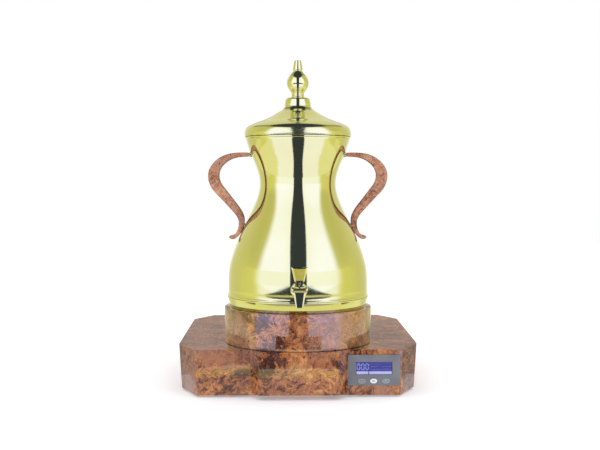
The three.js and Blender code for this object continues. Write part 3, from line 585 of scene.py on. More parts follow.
def clear(tree):
    """The display's clear window, with faint wiping marks in its gloss."""
    marks = noise(tree, coordinates(tree), 130, 4, 0.6, 1.5)
    return {
        "Roughness": spread(tree, marks, 0.02, 0.09),
        "Base Color": (0.97, 0.98, 1, 1),
        "Transmission Weight": 1,
        "IOR": 1.2,
    }


def board_green(tree):
    """Solder mask with lighter copper tracks under it."""
    pattern = {"Vector": coordinates(tree), "Scale": 240}
    tracks = add(tree, "TexVoronoi", pattern, distance="MANHATTAN").outputs["Distance"]
    lines = step_up(tree, tracks, 0.42, 0.5)
    return {
        "Base Color": blend(tree, lines, *BOARD_TONES),
        "Roughness": 0.35,
        "Normal": bump(tree, lines, 0.1, 0.0001),
    }


GOLD = painted("polished_gold", gold, MIRROR)
SPUN_GOLD = painted("spun_gold", gold, SPUN, spun=True)
SATIN_GOLD = painted("satin_gold", satin_gold)
BASE_BURL = painted("burl_veneer", burl, BASE_TONES, 1.0, 0.04, 2.0)
HANDLE_BURL = painted("handle_burl", burl, STRAP_TONES, 0.5, 0.2, 1.5, 0.6)
EDGE_BURL = painted("handle_edge_burl", burl, EDGE_TONES, 0.5, 0.2, 1.5, 0.6)
STEEL = painted("stainless_steel", brushed, (0.60, 0.61, 0.62))
BRASS = painted("plain_brass", brushed, (0.75, 0.56, 0.25), 0.22)
ALUMINIUM = painted("cast_aluminium", brushed, (0.68, 0.69, 0.70), 0.45, 0)
RUBBER = painted("black_rubber", moulded, (0.022, 0.022, 0.024), 0.75, 900, 0.25)
SILICONE = painted("silicone", moulded, (0.78, 0.78, 0.74), 0.45, 700, 0.1)
FELT = painted("fibre_felt", felt, (0.66, 0.6, 0.46))
GREY_PLASTIC = painted("grey_plastic", moulded, (0.172, 0.178, 0.2), 0.38)
GREY_BUTTON = painted("grey_button", moulded, (0.2, 0.215, 0.235), 0.35)
MARK_GREY = painted("button_outline", moulded, (0.46, 0.52, 0.51), 0.4)
WHITE = (0.86, 0.86, 0.88)
WHITE_PLASTIC = painted("white_plastic", moulded, WHITE, 0.3, coat=0.4, lift=0.04)
BLACK_PLASTIC = painted("black_plastic", moulded, (0.02, 0.021, 0.023), 0.4)
SCREEN_BLUE = painted("screen_blue", lit, (0.026, 0.026, 0.26))
SCREEN_DIGIT = painted("screen_digit", lit, (0.27, 0.29, 0.72))
SCREEN_ROW = painted("screen_row", lit, (0.13, 0.14, 0.5))
SCREEN_WHITE = painted("screen_white", lit, (0.5, 0.5, 0.86))
GLASS = painted("display_glass", clear)
BOARD = painted("circuit_board", board_green)

# ---- Base and pedestal ----

bevelled("base_cabinet", "base_housing", 1.3, 3, BASE_BURL)
bevelled("bottom_plate", "base_bottom_plate", 0.5, 2, STEEL)


def drum_profile():
    low, high = extent("pedestal_drum")
    radius, wall, ceiling, hole = high.x, 10, 8, 96
    outline = [
        (radius - wall, low.z), (radius, low.z), (radius, high.z), (hole, high.z),
        (hole, high.z - ceiling), (radius - wall, high.z - ceiling),
    ]
    return fillet(outline, 1.6)


revolved("drum", drum_profile(), 192, BASE_BURL, "pedestal_drum")


def make_foot(node):
    spot, (_, high) = heart(node), extent(node)
    radius, top = high.x - spot.x, high.z
    tread = [(5, 0), (radius - 1, 0), (radius, 1.4)]
    outline = fillet([*tread, (radius, top), (2.3, top), (2.3, 2.9), (5, 2.9)], 0.7)
    revolved(f"rubber_{node}", outline, 64, RUBBER, node, upright(spot.x, spot.y))


for corner in ("front_left", "front_right", "back_left", "back_right"):
    make_foot(f"foot_{corner}")

# ---- Tank ----

TANK_CURVE = [
    (136.33, 187), (136.45, 194), (136.41, 202), (136.07, 216), (134.85, 233), (130.3, 253),
    (117.5, 288), (91.4, 343), (77.6, 377), (74.3, 397), (80.0, 427.5), (93.4, 460), (101.6, 485),
]
TANK_STEPS = 110
SHELL_WALL = 1.6
RIM_Z = 489.9
LIP_RADIUS = 94.6


def heading(curve, i):
    """The direction of a curve at its point i."""
    last, after = curve[max(i - 1, 0)], curve[min(i + 1, len(curve) - 1)]
    return Vector((after[0] - last[0], after[1] - last[1])).normalized()


def moved_in(curve, distance):
    """An outline moved square to itself, towards the axis."""
    made = []
    for i, (radius, height) in enumerate(curve):
        along = heading(curve, i)
        made.append((radius - distance * along.y, height + distance * along.x))
    return made


def tank_shell():
    outside = smooth_curve(TANK_CURVE, TANK_STEPS)
    inside = moved_in(outside, SHELL_WALL)
    foot = [(112, 179.5), (138.2, 179.5), (138.2, 181.8), (136.45, 184.2), (136.4, 187)]
    foot = fillet(foot, 0.9, closed=False)
    rim = [
        (101.7, 486.0), (102.2, 486.5), (102.8, 487.3), (102.9, 488.4), (102.7, 489.3),
        (102.0, RIM_Z), (LIP_RADIUS, RIM_Z), (LIP_RADIUS, RIM_Z - 1.5), (100.0, RIM_Z - 1.7),
    ]
    lining = [point for point in reversed(inside) if 184 < point[1] < 484.5]
    return [*foot, *outside[1:], *rim, *lining, (134.2, 181.1), (112, 181.1)]


def skirt_profile():
    low, _ = extent("tank_skirt")
    floor = low.z + 2.2
    outside = smooth_curve([(133.3, low.z + 1), (134.9, 166), (136.7, 173.5), (138.0, 177.6)], 18)
    return [
        (117, low.z), (132.6, low.z), *outside, (138.2, 178.4), (138.0, 179.2), (135.8, 179.2),
        (135, 174), (133.1, 166), (131.6, floor), (117, floor),
    ]


def liner_profile():
    shell = smooth_curve(TANK_CURVE, TANK_STEPS)
    outside = [point for point in moved_in(shell, 9) if 186 < point[1] < 486]
    inside = [point for point in moved_in(shell, 10.2) if 188 < point[1] < 486]
    return [
        (0, 185), (119, 185), *outside, (LIP_RADIUS - 1, RIM_Z + 0.3), (100, RIM_Z + 0.3),
        (100, RIM_Z + 1.5), (LIP_RADIUS - 2.2, RIM_Z + 1.5), *inside[::-1], (118.4, 186.2),
        (0, 186.2),
    ]


revolved("tank_shell", tank_shell(), 256, GOLD, "tank_outer_shell")
revolved("skirt_ring", skirt_profile(), 256, GOLD, "tank_skirt")
revolved("inner_vessel", liner_profile(), 192, STEEL, "tank_liner")

# ---- Lid ----

LID_CURVE = [
    (104.5, 496.5), (103.6, 500.4), (101.9, 504.3), (98.8, 508.2), (92.6, 512.2), (84.4, 516.1),
    (73.2, 519.9), (63.2, 523.8), (55.0, 527.7), (47.5, 531.6), (41.0, 535.5), (34.6, 539.4),
    (29.6, 543.2),
]


def lid_shell_profile():
    low, high = extent("lid_shell")
    outside = smooth_curve(LID_CURVE, 64)
    inside = [point for point in moved_in(outside, 1.5) if point[1] < high.z - 3]
    return [
        (102.4, low.z), (103.5, low.z), (104.1, low.z + 0.6), (104.3, low.z + 2.2), *outside,
        (27.8, high.z), (3.4, high.z), (3.4, high.z - 1.5), (24, high.z - 1.5), *inside[::-1],
        (102.3, 496),
    ]


def collar_profile():
    low, high = extent("lid_collar")
    flare = smooth_curve([(27.4, low.z + 0.3), (26.5, 547.0), (25.5, 548.6)], 8)
    drum = smooth_curve([(25.2, 549.8), (25.3, 552), (24.8, 556), (24.1, 559.6), (23.3, 562.4)], 16)
    shoulder = smooth_curve([(23.3, 562.4), (21.6, 564.4), (18.6, 565.8), (15.0, 566.7)], 10)
    return [
        (3.4, low.z), (26.9, low.z), *flare, (24.5, 549.0), (24.4, 549.4), *drum, *shoulder[1:],
        (13.4, high.z), (3.4, high.z),
    ]


FINIAL_NECK = [
    (12.1, 567.1), (12.3, 567.8), (12.3, 569.6), (11.7, 570.4), (12.2, 571.2), (12.2, 573.0),
    (11.7, 573.8),
]
FINIAL_BULB = [
    (12.0, 574.6), (13.1, 576.4), (15.9, 580.3), (19.3, 586.1), (21.2, 593.4), (20.6, 599.7),
    (18.0, 605.6), (13.9, 611.4), (10.2, 615.6), (8.7, 618.2),
]


def finial_profile():
    low, high = extent("lid_finial")
    cap = [(8.6, 619), (9.6, 621.6), (8.9, 625.6), (6.4, high.z), (0.001, high.z)]
    cap = fillet(cap, 0.8, closed=False)
    bulb = smooth_curve(FINIAL_BULB, 52)
    return [(0, low.z), (3, low.z), (3, 567.1), *FINIAL_NECK, *bulb, *cap[:-1], (0, high.z)]


def plug_profile():
    low, high = extent("lid_plug")
    brim = high.z - 2
    outline = [(3.4, low.z), (87, low.z), (87, brim), (100, brim), (100, high.z), (3.4, high.z)]
    return fillet(outline, 1.2)


def gasket_profile():
    low, high = extent("lid_gasket")
    lips = [(88, low.z), (92, low.z), (93.5, low.z + 0.7), (95, low.z), (99, low.z)]
    return fillet([*lips, (100, high.z), (88, high.z)], 0.5, 3)


def cap_nut_profile():
    low, high = extent("lid_cap_nut")
    dome = smooth_curve([(1.2, low.z + 0.1), (4, low.z + 1), (5.6, low.z + 3.2)], 8)
    return [(0, low.z), *dome, (5.6, high.z), (0, high.z)]


revolved("lid_dome", lid_shell_profile(), 256, SPUN_GOLD, "lid_shell")
revolved("collar", collar_profile(), 128, GOLD, "lid_collar")
revolved("finial", finial_profile(), 128, GOLD, "lid_finial")
revolved("inner_plug", plug_profile(), 160, STEEL, "lid_plug")
revolved("lid_seal", gasket_profile(), 160, SILICONE, "lid_gasket")
revolved("cap_nut", cap_nut_profile(), 64, STEEL, "lid_cap_nut")

# ---- Tap ----

TAP_Y = heart("tap_lever_pin").y
SHANK_Z = heart("tap_shank").z
FACET_ANGLE = 20  # in degrees; the castings keep their facets


def cut_corner_ring(width, depth, cut, z, sag=0.0, split=4):
    """A ring about the tap's axis: a rectangle with shallow cut corners, each side split evenly.

    sag lowers the middle of the ring below its ends at left and right."""
    across, away = width / 2, depth / 2
    corners = [
        (-across + cut, -away), (across - cut, -away), (across, -away + cut / 2),
        (across, away - cut / 2), (across - cut, away), (-across + cut, away),
        (-across, away - cut / 2), (-across, -away + cut / 2),
    ]
    ring = []
    for i, start in enumerate(corners):
        end = corners[(i + 1) % len(corners)]
        for step in range(split):
            t = step / split
            x = start[0] + (end[0] - start[0]) * t
            y = start[1] + (end[1] - start[1]) * t
            ring.append((x, TAP_Y + y, z - sag * (1 - (x / across) ** 2)))
    return ring


def bore_ring(radius, z, like):
    """A round ring whose points stand at the same bearings as the ring it is to be joined to."""
    bearings = [math.atan2(y - TAP_Y, x) for x, y, _ in like]
    return [(radius * math.cos(a), TAP_Y + radius * math.sin(a), z) for a in bearings]


# The casting's rings between its tip and its top: width, depth, cut and height.
CASTING_ROWS = [
    (16.6, 15.4, 2.7, 190), (21.2, 19.3, 3.2, 202), (23.0, 20.8, 3.4, 206.6),
    (23.4, 21.2, 3.4, 207.3), (26.6, 23.6, 3.6, 208.4), (29.6, 25.4, 3.8, 210.2),
    (30.6, 26, 3.9, 211.8), (30.2, 25.6, 3.8, 213.1),
]


def tap_casting():
    low, high = extent("tap_body")
    rows = [(12.6, 12, 2.1, low.z), *CASTING_ROWS, (28.4, 24.2, 3.4, high.z)]
    outside = [cut_corner_ring(*row) for row in rows]
    bore = [bore_ring(4, z, outside[0]) for z in (194, low.z)]
    start, end = TAP_Y + 8, high.y
    socket = [(8.2, start), (10.9, start), (10.9, end - 0.6), (10.3, end), (8.2, end)]
    rear = revolve_data(socket, 64, forward(SHANK_Z))
    piece = gathered("tap_casting", [loft_data([*bore, *outside]), rear], FACET_ANGLE)
    return round_edges(piece, 0.35, 2, 22)


PADDLE_SAG = 3.2  # how far the paddle's top edge dips in its middle


def tap_paddle():
    low, high = extent("tap_lever")
    top = high.z
    rows = [
        (16.6, 7, 2.0, 224.9), (18.4, 6.6, 2.4, 227.4), (26.6, 5.2, 2.8, top - 6),
        (28.8, 4.8, 2.8, top - 2, 1.6), (29.0, 4.6, 2.6, top - 0.9, 2.6),
        (28.2, 3.2, 2.2, top, PADDLE_SAG),
    ]
    blade = [cut_corner_ring(*row, split=6) for row in rows]
    cheeks = []
    for x in (-3.9, 3.9):
        corners = [(x - 1.8, -4.8), (x + 1.8, -4.8), (x + 1.8, 4.8), (x - 1.8, 4.8)]
        rings = [[(px, TAP_Y + py, z) for px, py in corners] for z in (low.z, 226.2)]
        cheeks.append(loft_data(rings))
    piece = gathered("tap_paddle", [loft_data(blade), *cheeks], FACET_ANGLE)
    round_edges(piece, 0.4, 2, 22)
    settle(piece, GOLD, "tap_lever")
    piece.data.materials.append(SATIN_GOLD)
    for face in piece.data.polygons:
        height = face.center.z / MM
        if face.normal.y < -0.93 and 228 < height < top - PADDLE_SAG:
            face.material_index = 1


def make_tap():
    settle(tap_casting(), GOLD, "tap_body")
    tap_paddle()
    low, high = extent("tap_bonnet")
    step = 214.3
    outline = [
        (2.2, low.z), (7.1, low.z), (7.1, step), (10.5, step), (10.5, high.z - 1.6), (8.5, high.z),
        (2.2, high.z),
    ]
    revolved("tap_cap", fillet(outline, 0.5), 64, GOLD, "tap_bonnet", upright(0, TAP_Y))
    front, back = extent("tap_shank")
    tube = [(4.5, front.y), (8, front.y), (8, back.y), (4.5, back.y)]
    revolved("tap_pipe", fillet(tube, 0.5), 64, GOLD, "tap_shank", forward(SHANK_Z))
    front, back = extent("tap_flange")
    rim = [(8.3, back.y), (15.5, back.y), (15.5, back.y - 1.4)]
    rosette = fillet([*rim, (13.6, front.y + 0.7), (10.6, front.y), (8.3, front.y)], 0.8)
    revolved("tap_rosette", rosette, 96, GOLD, "tap_flange", forward(SHANK_Z))


make_tap()

# ---- Handles ----

# The strap's centre line on the +X side: x, height, and thickness in the strap's plane.
HANDLE_COURSE = [
    (95.8, 455.2, 8.0), (110, 455.0, 8.6), (125, 453.2, 10.4), (139.5, 448.2, 13.8),
    (151.6, 440.0, 17), (160.2, 429.6, 20), (164.4, 417.0, 22), (163.2, 404, 22), (157.5, 392, 21),
    (148.3, 380.8, 19.4), (127.2, 356, 16.4), (116.2, 342, 14.6), (110.8, 330.5, 12.9),
    (110.3, 319, 11.2), (113.4, 308, 9.2), (118.6, 299.4, 7.6), (124.4, 294.6, 7.8),
    (130.4, 293.4, 8.8), (135.0, 294.2, 8.2),
]


def handle_rings(side):
    rings = []
    course = smooth_curve(HANDLE_COURSE, 150)
    sides = 36
    for i, (x, z, thickness) in enumerate(course):
        along = heading(course, i)
        left = (len(course) - 1 - i) / 7  # the last steps round the curled foot off
        full = math.sqrt(max(0.02, 1 - max(0, 1 - left) ** 2)) * min(1, 0.86 + 0.05 * i)
        thick, deep = thickness * full, (10 + 0.36 * thickness) * full
        ring = []
        for corner in range(sides):
            angle = 2 * math.pi * corner / sides
            c, s = math.cos(angle), math.sin(angle)
            squared = (abs(c) ** 6 + abs(s) ** 6) ** (-1 / 6)
            reach = thick / 2 * c * squared
            ring.append((side * (x + reach * along.y), deep / 2 * s * squared, z - reach * along.x))
        rings.append(ring)
    return rings


def darken_narrow_sides(strap):
    """The strap's narrow sides are darker than its broad front and back."""
    strap.data.materials.append(EDGE_BURL)
    for face in strap.data.polygons:
        if abs(face.normal.y) < 0.72:
            face.material_index = 1


def make_handles():
    for name, side in (("left", -1), ("right", 1)):
        strap = new_piece(f"strap_{name}", *loft_data(handle_rings(side)), 60)
        settle(strap, HANDLE_BURL, f"handle_{name}")
        darken_narrow_sides(strap)
        node = f"handle_ferrule_{name}"
        socket = [(0, 86), (4.6, 86), (4.6, 94.4), (4.0, 95.3), (0, 95.3)]
        outline = [(radius, side * x) for radius, x in fillet(socket, 0.5, closed=False)]
        revolved(f"ferrule_{name}", outline, 64, GOLD, node, sideways(heart(node).z))


make_handles()

# ---- Control panel ----


def slab_data(x, z, width, height, front, depth, corner):
    """A thin plate that faces the front, with rounded corners; x and z are its middle."""
    left, right = x - width / 2, x + width / 2
    low, high = z - height / 2, z + height / 2
    outline = fillet([(left, low), (right, low), (right, high), (left, high)], corner)
    rings = [[(px, y, pz) for px, pz in outline] for y in (front, front + depth)]
    return loft_data(rings)


DIGIT_TALL = 10.4
DIGIT_WIDE = 5.0
DIGIT_PITCH = 8.1
STROKE = 1.7
FIELD_TALL = 5.2
FIELDS = (0.012, 0.338), (0.362, 0.988)  # from and to, as shares of the window's width
ROWS = (0.36, 3.6, 13), (0.55, 3.6, 13), (0.43, 8.4, 16), (0.75, 8.4, 17), (0.38, 14, 41)
INK = 0.1  # how thick the marks are


def screen_parts():
    """The lit display's three 7-segment zeros, its plain rows and its two bright fields."""
    low, high = extent("lcd_window")
    front = high.y + 0.25
    window_wide = high.x - low.x
    digits, rows, fields = [], [], []
    for i in range(3):
        left, top = low.x + 1.8 + DIGIT_PITCH * i, high.z - 3.4
        for x in (left, left + DIGIT_WIDE):
            for z in (top - 0.25 * DIGIT_TALL, top - 0.75 * DIGIT_TALL):
                digits.append(slab_data(x, z, STROKE, DIGIT_TALL / 2 - 1.2, front, INK, 0.3))
        for z in (top, top - DIGIT_TALL):
            x = left + DIGIT_WIDE / 2
            digits.append(slab_data(x, z, DIGIT_WIDE - 1.2, STROKE, front, INK, 0.3))
    for share, drop, wide in ROWS:
        x = low.x + share * window_wide + wide / 2 - 2
        rows.append(slab_data(x, high.z - drop, wide, 0.8, front, INK, 0.2))
    for x in (4, 9, 14, 19):
        rows.append(slab_data(low.x + x, high.z - 15.2, 3, 1.0, front, INK, 0.2))
    for start, end in FIELDS:
        x, z = low.x + window_wide * (start + end) / 2, low.z + FIELD_TALL / 2 + 0.3
        fields.append(slab_data(x, z, window_wide * (end - start), FIELD_TALL, front, INK, 0.4))
    return digits, rows, fields


def make_display():
    bevelled("panel_frame", "control_bezel", 0.5, 3, GREY_PLASTIC)
    bevelled("screen_module", "lcd_module", 0.4, 2, SCREEN_BLUE)
    bevelled("screen_window", "lcd_window", 0.25, 2, GLASS)
    digits, rows, fields = screen_parts()
    for name, parts, material in (
        ("screen_digits", digits, SCREEN_DIGIT),
        ("screen_rows", rows, SCREEN_ROW),
        ("screen_fields", fields, SCREEN_WHITE),
    ):
        settle(gathered(name, parts), material, "lcd_module", stands_for=False)


make_display()


def oval_outline(x, z, width, height, count=48):
    angles = [2 * math.pi * i / count for i in range(count)]
    return [(x + width / 2 * math.cos(a), z + height / 2 * math.sin(a)) for a in angles]


def band_data(outer, inner, front, back):
    """A flat ring between two outlines with equally many points."""
    rings = [(outer, back), (outer, front), (inner, front), (inner, back)]
    points = [(x, y, z) for outline, y in rings for x, z in outline]
    count, faces = len(outer), []
    for ring in range(4):
        for i in range(count):
            j = (i + 1) % count
            here, there = ring * count, ((ring + 1) % 4) * count
            faces.append([here + i, here + j, there + j, there + i])
    return points, faces


def stroke_data(start, end, width, front, depth):
    """A short straight bar between two points on a face that looks to the front."""
    along = (Vector(end) - Vector(start)).normalized()
    across = Vector((-along.y, along.x)) * width / 2
    ends = ((start, -1), (end, -1), (end, 1), (start, 1))
    corners = [Vector(spot) + across * way for spot, way in ends]
    rings = [[(corner.x, y, corner.y) for corner in corners] for y in (front, front + depth)]
    return loft_data(rings)


BUTTON_WIDE = 13.4
BUTTON_TALL = 9
# How deep behind the button's front each of its outer rings lies, and its share of the full size.
CROWN = [(0.9, 1.0), (0.5, 0.985), (0.225, 0.94), (0.1, 0.85), (0.04, 0.6)]


def make_button(side):
    node = f"button_{side}"
    low, high = extent(node)
    x, z = heart(node).x, heart(node).z
    rings = []
    for y, share in ((high.y, 1.0), *((low.y + depth, share) for depth, share in CROWN)):
        outline = oval_outline(x, z, BUTTON_WIDE * share, BUTTON_TALL * share)
        rings.append([(px, y, pz) for px, pz in outline])
    cap = new_piece(f"cap_{side}", *loft_data(rings), 50)
    settle(cap, WHITE_PLASTIC if side == "middle" else GREY_BUTTON, node)
    face = low.y + 0.02
    if side == "middle":
        marks = [slab_data(x, z, 5.4, 1.9, face, 0.3, 0.8)]
        material = GREY_PLASTIC
    else:
        lift = 1 if side == "right" else -1
        outer, inner = oval_outline(x, z, 13.6, 8.8), oval_outline(x, z, 11.5, 6.9)
        marks = [band_data(outer, inner, low.y + 0.04, low.y + 0.6)]
        for foot in (x - 2.4, x + 2.4):
            tip = (x, z + 1.5 * lift)
            marks.append(stroke_data((foot, z - 1.1 * lift), tip, 0.9, face, 0.3))
        material = MARK_GREY
    settle(gathered(f"mark_{side}", marks), material, node, stands_for=False)


for button in ("left", "middle", "right"):
    make_button(button)

# ---- Power parts at the back ----


def metal_pins(piece):
    """Gives the inlet's three pins, which stand clear in its recess, a brass finish."""
    piece.data.materials.append(BRASS)
    _, high = extent("mains_inlet")
    centre = heart("mains_inlet")
    for face in piece.data.polygons:
        spot = (face.center - AXIS) / MM
        inside = abs(spot.x - centre.x) < 8.5 and abs(spot.z - centre.z) < 5.2
        if inside and high.y - 18 < spot.y < high.y - 0.5:
            face.material_index = 1


metal_pins(bevelled("power_inlet", "mains_inlet", 0.5, 2, BLACK_PLASTIC))
bevelled("switch_frame", "switch_housing", 0.5, 2, BLACK_PLASTIC)
bevelled("switch_rocker", "power_rocker", 0.4, 3, BLACK_PLASTIC)

# ---- CAD nodes that stay, hidden deep inside or small, with their finishes ----

FINISHES = {
    "steel": STEEL,
    "aluminium": ALUMINIUM,
    "rubber": RUBBER,
    "silicone": SILICONE,
    "insulation": FELT,
    "gold": GOLD,
    "black_plastic": BLACK_PLASTIC,
    "circuit_board": BOARD,
}

for node, shape in frame["nodes"].items():
    if not shape.hide_render:
        shape.data.materials.clear()
        shape.data.materials.append(FINISHES[SLOT_OF[node]])

# ---- Floor ----

FLOOR_SIDE = 4.0
FLOOR_FRONT = -1.67  # from the tank's axis, so it ends between the pot and the camera
FLOOR_BACK = 4.0 - AXIS.y
QUAD = [(0, 1, 2, 3)]


def stage_sheet(name, points, faces, material):
    """A piece of the studio, from points in metres about the foot of the tank's axis."""
    mesh = bpy.data.meshes.new(name)
    mesh.from_pydata([AXIS + Vector(point) for point in points], [], faces)
    mesh.materials.append(material)
    sheet = new_object(name, mesh)
    return sheet


def floor_corners(z):
    side, front, back = FLOOR_SIDE, FLOOR_FRONT, FLOOR_BACK
    return [(-side, front, z), (side, front, z), (side, back, z), (-side, back, z)]


def pale_floor(tree):
    cloud = noise(tree, coordinates(tree), 1.3)
    return {
        "Base Color": mottle(tree, cloud, (0.93,) * 3, (0.95,) * 3),
        "Roughness": 0.9,
        "Specular IOR Level": 0.0,
        "Emission Color": (1, 1, 1, 1),
        "Emission Strength": 0.22,
    }


# ---- Light ----

# "turned" is how far something lies round from the front, as a share of half a turn. A pair of
# numbers is where a part of the studio starts to fade in or out, and where it has done so.
SLIT = 0.211, 0.241  # the dark gap between the two front softboxes, as a direction's x
SLIT_END = -0.02, 0.02
SOFTBOX = (1.24, 1.275, 1.64)
SOFTBOX_END = 0.345, 0.435
HOT_SPOT = (1.31, 1.36, 2.1)
HOT_BEARING, HOT_RISE = 0.838, 0.25
HOT_REACH = 0.72, 1.0  # as the cosine of the angle from the hot spot
GAP_TONE = (0.045, 0.054, 0.082)
TABLE_GAP = 0.086  # half the gap on the table, turned from a point GAP_NEARER before the axis
GAP_NEARER = 0.09
SPILL = (1.2, 1.2, 1.48)
WARM_RING = (0.93, 0.92, 0.46)
WARM_SIDE = (1.0, 0.99, 0.62)
BASE_SHADE = (0.5, 0.45, 0.45)
KERB_SHADE = (0.3, 0.24, 0.2)
REAR_TONE = (0.42, 0.34, 0.31)
REAR_START = 0.9, 0.93
REAR_FOOT = 0.115, 0.13
REAR_TOP = 0.2, 0.24
FLARE_SLOPE, FLARE_START = 0.322, 0.030  # the dark foot of the front drops as it turns away
FLARE_END = 0.34, 0.36
FLARE_TOP = -0.006, 0.006
ARC_SIDE = 0.33, 0.6, 0.03  # two half-dark patches high up at the back give the lid its dark line
ARC_RISE = 0.45, 0.55
ARC_BACK = -0.1, 0.0
ARC_STRENGTH = 0.5
CEILING = 0.8, 0.86  # the dark part overhead, as a direction's z
WALL_RISE = 0.05, 0.45
WALLS = [
    (0.38, (1.0, 0.99, 0.55)), (0.45, (0.86, 0.85, 0.34)), (0.55, (0.82, 0.805, 0.31)),
    (0.66, (0.76, 0.74, 0.35)), (0.80, (0.76, 0.75, 0.46)), (0.93, (1.0, 1.0, 0.9)),
    (0.98, (0.75, 0.75, 0.75)),
]
HIGH_WALLS = [
    (0.38, (0.74, 0.73, 0.36)), (0.5, (0.67, 0.65, 0.28)), (0.62, (0.71, 0.69, 0.33)),
    (0.8, (0.80, 0.79, 0.5)), (1.0, (0.84, 0.83, 0.6)),
]

EVEN_TONES = (0.92, 0.92, 0.92), (1.1, 1.1, 1.1)
EVEN_FADE = -0.4, 0.6
BACKDROP = (1.0, 1.0, 1.0)
# Distances on the table card, from the tank's axis.
SHADE_REACH, WARM_REACH, GAP_START = 0.35, 0.44, 0.46
SIDE_REACH, FAR_RING, FLARE_FOOT = 1.2, (1.26, 1.6), (1.52, 1.55)
FLARE_DROP = 0.206  # how far the flare's edge has come down where it meets the table


def turned_away(tree, x, y, nearer=0):
    """How far a spot is turned, seen from a point that is so much nearer to the camera than the
    axis."""
    ahead = minus(tree, -nearer, y)
    side = calc(tree, "ABSOLUTE", x)
    return calc(tree, "DIVIDE", calc(tree, "ARCTAN2", side, ahead), math.pi)


def make_world():
    """Two big softboxes to the left and right of the camera, a dark gap between them and overhead,
    and pale walls at the sides and back. Diffuse surfaces see an even, plain version of it."""
    world = bpy.data.worlds.new("studio")
    SCENE.world = world
    tree, background = new_tree(world, "Background", "OutputWorld")
    direction = add(tree, "TexCoord").outputs["Generated"]
    x, y, z = add(tree, "SeparateXYZ", {0: direction}).outputs
    side = calc(tree, "ABSOLUTE", x)
    ahead = times(tree, y, -1)
    turned = turned_away(tree, x, y)

    height = step_up(tree, z, *WALL_RISE)
    walls = blend(tree, height, ramp(tree, turned, WALLS), ramp(tree, turned, HIGH_WALLS))
    spot = add(tree, "CombineXYZ", {0: side, 1: y, 2: z}).outputs["Vector"]
    aim = Vector((math.sin(HOT_BEARING), -math.cos(HOT_BEARING), HOT_RISE)).normalized()
    toward = add(tree, "VectorMath", {0: spot, 1: tuple(aim)}, operation="DOT_PRODUCT")
    hot = step_up(tree, toward.outputs["Value"], *HOT_REACH)
    panel = blend(tree, hot, SOFTBOX, HOT_SPOT)
    color = blend(tree, step_up(tree, turned, *SOFTBOX_END), panel, walls)

    rear = times(tree, step_up(tree, turned, *REAR_START), step_up(tree, z, *REAR_FOOT))
    rear = times(tree, rear, inverse(tree, step_up(tree, z, *REAR_TOP)))
    color = blend(tree, rear, color, REAR_TONE)

    gap = inverse(tree, step_up(tree, side, *SLIT))
    gap = times(tree, gap, step_up(tree, ahead, *SLIT_END))
    flare_edge = calc(tree, "MULTIPLY_ADD", turned, -FLARE_SLOPE, -FLARE_START)
    above = minus(tree, z, flare_edge)
    flare = inverse(tree, step_up(tree, above, *FLARE_TOP))
    flare = times(tree, flare, inverse(tree, step_up(tree, turned, *FLARE_END)))
    arc = times(tree, within(tree, side, *ARC_SIDE), step_up(tree, z, *ARC_RISE))
    arc = times(tree, times(tree, arc, step_up(tree, y, *ARC_BACK)), ARC_STRENGTH)
    dark = calc(tree, "MAXIMUM", step_up(tree, z, *CEILING), arc)
    dark = calc(tree, "MAXIMUM", dark, calc(tree, "MAXIMUM", gap, flare))
    color = blend(tree, dark, color, GAP_TONE)

    path = add(tree, "LightPath").outputs
    even = blend(tree, step_up(tree, ahead, *EVEN_FADE), *EVEN_TONES)
    color = blend(tree, path["Is Diffuse Ray"], color, even)
    color = blend(tree, path["Is Camera Ray"], color, BACKDROP)
    fill(tree, background, {"Color": color})


def card_light(tree, paint):
    x, y, _ = about_axis(tree)
    return {"Color": paint(tree, x, y)}


def make_card(name, points, faces, paint):
    """A lit card that only reflections see. paint(tree, x, y) gives its colour about the axis."""
    light = painted(name, card_light, paint, kind="Emission")
    card = stage_sheet(name, points, faces, light)
    for ray in ("camera", "diffuse", "shadow", "transmission"):
        setattr(card, f"visible_{ray}", False)


def bent_card(name, radius, low, high, start, end, paint):
    """A card bent round the axis between two bearings, in degrees from the front towards +X."""
    points, count = [], 32
    for i in range(count + 1):
        angle = math.radians(start + (end - start) * i / count)
        for z in (low, high):
            points.append((radius * math.sin(angle), -radius * math.cos(angle), z))
    faces = [(2 * i, 2 * i + 2, 2 * i + 3, 2 * i + 1) for i in range(count)]
    make_card(name, points, faces, paint)


def under(tree, value, reach, soft, color, tone):
    """The colour, but the tone where the value is under reach, with a soft edge."""
    return blend(tree, step_up(tree, value, reach - soft, reach + soft), tone, color)


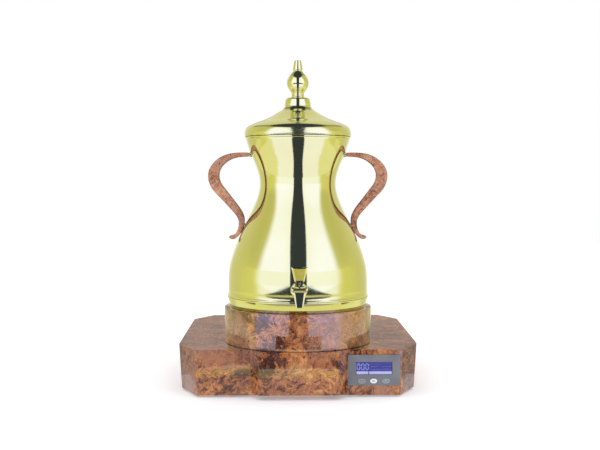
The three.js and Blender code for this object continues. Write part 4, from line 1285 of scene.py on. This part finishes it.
def table_paint(tree, x, y):
    """From the base outwards: a shaded ring, a warm ring, the softboxes' spill with the dark gap
    down its middle, a second warm ring, and the dark foot of the flare. The sides are warm."""
    turned = turned_away(tree, x, y, GAP_NEARER)
    radius = length(tree, x, y)
    color = under(tree, turned, 0.38, 0.04, ramp(tree, turned, WALLS), SPILL)
    sides = within(tree, radius, 0, SIDE_REACH, 0.1)
    sides = times(tree, sides, within(tree, turned, 0.38, 0.7, 0.04))
    color = blend(tree, sides, color, WARM_SIDE)
    color = under(tree, radius, WARM_REACH, 0.02, color, WARM_RING)
    color = under(tree, radius, SHADE_REACH, 0.01, color, BASE_SHADE)
    gap = within(tree, turned, -1, TABLE_GAP, 0.008)
    gap = times(tree, gap, within(tree, radius, GAP_START, 3, 0.02))
    color = blend(tree, gap, color, GAP_TONE)
    color = blend(tree, within(tree, radius, *FAR_RING, 0.02), color, WARM_RING)
    drop = calc(tree, "MULTIPLY_ADD", turned, FLARE_SLOPE, FLARE_START)
    edge = calc(tree, "DIVIDE", FLARE_DROP, drop)
    foot = within(tree, minus(tree, radius, edge), -9, 0, 0.03)
    foot = times(tree, foot, step_up(tree, radius, *FLARE_FOOT))
    return blend(tree, foot, color, GAP_TONE)


def waist_paint(tree, x, y):
    """The softboxes again, where the tank's waist looks past the far edge of the table."""
    turned = turned_away(tree, x, y, 0.07)
    color = under(tree, turned, 0.385, 0.045, ramp(tree, turned, WALLS), SOFTBOX)
    return under(tree, turned, 0.075, 0.005, color, GAP_TONE)


def kerb_paint(tree, x, y):
    """What the base's upright faces see: dark ahead and at the sides, bright between."""
    turned = turned_away(tree, x, y)
    color = blend(tree, step_up(tree, turned, 0.31, 0.34), SPILL, KERB_SHADE)
    return under(tree, turned, 0.165, 0.008, color, GAP_TONE)


def drum_paint(tree, x, y):
    """The spill as the pedestal's drum sees it, with the dark gap."""
    turned = turned_away(tree, x, y, GAP_NEARER)
    return under(tree, turned, TABLE_GAP, 0.008, SPILL, GAP_TONE)


def make_cards():
    make_card("table_card", floor_corners(0.002), QUAD, table_paint)
    bent_card("waist_card", 0.75, 0.175, 0.387, -90, 90, waist_paint)
    bent_card("kerb_card", 0.44, 0.003, 0.064, -58, 58, kerb_paint)
    bent_card("drum_card", 0.6, 0.045, 0.104, -60, 60, drum_paint)
    for name, side in (("left", -1), ("right", 1)):
        bent_card(f"fence_{name}", 0.285, 0.003, 0.07, 62 * side, 150 * side, kerb_paint)


stage_sheet("floor", floor_corners(0), QUAD, painted("pale_floor", pale_floor))
make_world()
make_cards()
SCENE.view_settings.view_transform = "Standard"
